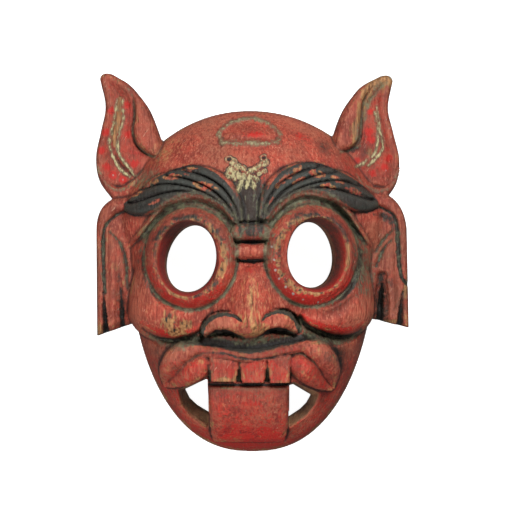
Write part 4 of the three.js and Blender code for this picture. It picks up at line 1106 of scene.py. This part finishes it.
coats = {name: add("Attribute", {}, attribute_name=name).outputs["Fac"] for name in paint}
place = add("TexCoord", {}).outputs["Object"]
pattern, shown, covered = {}, {}, {}
for name, (size, turn, detail, roughness) in PATTERNS.items():
    swell = {"Vector": place, "Rotation": (0, 0, turn), "Scale": [mm * MM for mm in size]}
    spread = add("Mapping", swell, vector_type="TEXTURE").outputs["Vector"]
    texture = {"Vector": spread, "Scale": 1.0, "Detail": detail, "Roughness": roughness}
    pattern[name] = add("TexNoise", texture).outputs["Fac"]
for name, (source, start, full, most) in SHOWING.items():
    limits = {"Value": pattern[source], "From Min": start, "From Max": full, "To Max": most}
    shown[name] = add("MapRange", limits).outputs[0]
for coat, kept in (("bare", shown["touched"]), ("black", -0.2)):
    coats[coat] = add("Math", {0: coats["ridge"], 1: kept, 2: coats[coat]}, operation="MULTIPLY_ADD").outputs[0]
crumbs = add("Math", {0: pattern["flakes"], 1: pattern["specks"]}, operation="ADD").outputs[0]
crumbs = add("Math", {0: crumbs, 1: 1.0}, operation="SUBTRACT").outputs[0]
for coat, (middle, soft, most, crumbling) in COAT_EDGES.items():
    edge = add("Math", {0: crumbs, 1: crumbling, 2: coats[coat]}, operation="MULTIPLY_ADD").outputs[0]
    limits = {"Value": edge, "From Min": middle - soft, "From Max": middle + soft, "To Max": most}
    covered[coat] = add("MapRange", limits).outputs[0]

flakes, fibre = pattern["flakes"], pattern["fibre"]
# Raised forms turn paler in patches: faded paint and painted highlight.
crowned = add("Math", {0: coats["crown"], 1: flakes}, operation="MULTIPLY").outputs[0]
# The hair's black is lighter on the strands' crests, as worn paint and as painted highlight.
crest_lightened = add("Math", {0: coats["ridge"], 1: 0.9, 2: flakes}, operation="MULTIPLY_ADD").outputs[0]
crest_lightened = add("MapRange", {"Value": crest_lightened, "From Min": 0.4, "From Max": 1.1}).outputs[0]
# Hollows, folds and overhung places take a dark grime colour in patches: grime and painted shade together.
patchy = add("MapRange", {"Value": flakes, "From Min": 0.2, "From Max": 0.8, "To Min": 0.35, "To Max": 0.85})
grime_and_shade_share = add("Math", {0: coats["grime_and_shade"], 1: patchy.outputs[0]}, operation="MULTIPLY", use_clamp=True).outputs[0]
# Fine cuts are darkened towards black, as grime and as painted shade.
crease_darkened = add("Math", {0: flakes, 1: 0.6, 2: coats["groove"]}, operation="MULTIPLY_ADD").outputs[0]
crease_darkened = add("MapRange", {"Value": crease_darkened, "From Min": 0.55, "From Max": 1.3, "To Max": 0.8}).outputs[0]
dotted = add("MapRange", {"Value": coats["chalk"], "From Min": 0.3, "From Max": 0.7, "To Max": 0.85}).outputs[0]

finish = {}
for name, share, dark, light in (
    ("wood", shown["grained"], BROWN_WOOD, TAN_WOOD),
    ("hair", crest_lightened, DEEP_BLACK, WORN_AND_LIT_BLACK),
    ("deposit", shown["greened"], OLIVE_DEPOSIT, GREEN_DEPOSIT),
    ("gilt", shown["glinting"], DULL_GILT, GILT),
    ("raw", fibre, DARK_WOOD, RAW_WOOD),
):
    finish[name] = add("Mix", {0: share, 6: colour(dark), 7: colour(light)}, data_type="RGBA").outputs[2]
surface = colour(DEEP_RED)
for share, over in (
    (shown["faded"], colour(FADED_RED)),
    (shown["pale"], colour(PALE_RED)),
    (shown["stained"], colour(FADED_BROWN)),
    (crowned, colour(PALE_RED)),
    (shown["streaky"], colour(DEEP_RED)),
    (covered["bright"], colour(BRIGHT_RED)),
    (shown["scratched"], colour(SCRATCH)),
    (shown["pitted"], colour(DUSKY_BROWN)),
    (covered["bare"], finish["wood"]),
    (covered["black"], finish["hair"]),
    (grime_and_shade_share, colour(GRIME_AND_SHADE_BROWN)),
    (crease_darkened, colour(DEEP_BLACK)),
    (covered["patina"], finish["deposit"]),
    (covered["gold"], finish["gilt"]),
    (dotted, colour(CHALK)),
    (coats["raw"], finish["raw"]),
):
    surface = add("Mix", {0: share, 6: surface, 7: over}, data_type="RGBA").outputs[2]

dull = {"Value": pattern["patches"], "From Min": 0.3, "From Max": 0.7, "To Min": 0.5, "To Max": 0.72}
roughness = add("MapRange", dull).outputs[0]
roughness = add("Math", {0: covered["black"], 1: -0.12, 2: roughness}, operation="MULTIPLY_ADD").outputs[0]
relief = pattern["specks"]
for source, weight in ((fibre, 1.6), (flakes, 1.2), (covered["bare"], -0.6)):
    relief = add("Math", {0: source, 1: weight, 2: relief}, operation="MULTIPLY_ADD").outputs[0]
bump = add("Bump", {"Height": relief, "Strength": 1.0, "Distance": BUMP_DEPTH * MM}).outputs["Normal"]
look = {"Base Color": surface, "Roughness": roughness, "Normal": bump, "IOR": 1.5, "Specular IOR Level": 0.3}
shader = add("BsdfPrincipled", look)
add("OutputMaterial", {"Surface": shader.outputs["BSDF"]})
thinned.materials.append(material)
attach(carved, "root")
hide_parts("mask")


# The floor: a plain white studio table that glows faintly, as a light table does, so that it also shows white
# through the eyes and the mouth. Broad soft lights hang above, the stronger one over the forehead's right.
FLOOR_SIZE, FLOOR_DROP, FLOOR_GLOW, FLOOR_WHITE = 14.0, 0.0005, 0.98, "#B8B8B6"
SKY_STRENGTH = 0.18
LIGHTS = (
    ("key_light", (0.35, 0.85, 1.3), 0.6, 32.0),
    ("fill_light", (-0.6, -0.75, 1.3), 1.2, 19.0),
)
white = bpy.data.materials.new("white_table")
white.use_nodes = True
tree = white.node_tree
tree.nodes.clear()
glow = {"Emission Color": (1, 1, 1, 1), "Emission Strength": FLOOR_GLOW}
table = add("BsdfPrincipled", {"Base Color": colour(FLOOR_WHITE), "Roughness": 0.9, **glow})
add("OutputMaterial", {"Surface": table.outputs["BSDF"]})
board = bmesh.new()
bmesh.ops.create_grid(board, x_segments=1, y_segments=1, size=FLOOR_SIZE / 2)
bmesh.ops.translate(board, vec=(0, 0, -FLOOR_DROP), verts=board.verts)
floor_mesh = bpy.data.meshes.new("floor")
board.to_mesh(floor_mesh)
board.free()
floor_mesh.materials.append(white)
floor = bpy.data.objects.new("floor", floor_mesh)
bpy.context.collection.objects.link(floor)
floor.visible_diffuse = False
floor.visible_glossy = False

for name, at, size, power in LIGHTS:
    lamp = bpy.data.lights.new(name, "AREA")
    lamp.size = size
    lamp.energy = power
    light = bpy.data.objects.new(name, lamp)
    light.location = at
    light.rotation_euler = (-Vector(at)).to_track_quat("-Z", "Y").to_euler()
    bpy.context.collection.objects.link(light)
sky = bpy.data.worlds.new("studio")
sky.use_nodes = True
sky.node_tree.nodes["Background"].inputs["Color"].default_value = (1, 1, 1, 1)
sky.node_tree.nodes["Background"].inputs["Strength"].default_value = SKY_STRENGTH
bpy.context.scene.world = sky
bpy.context.scene.view_settings.view_transform = "Standard"
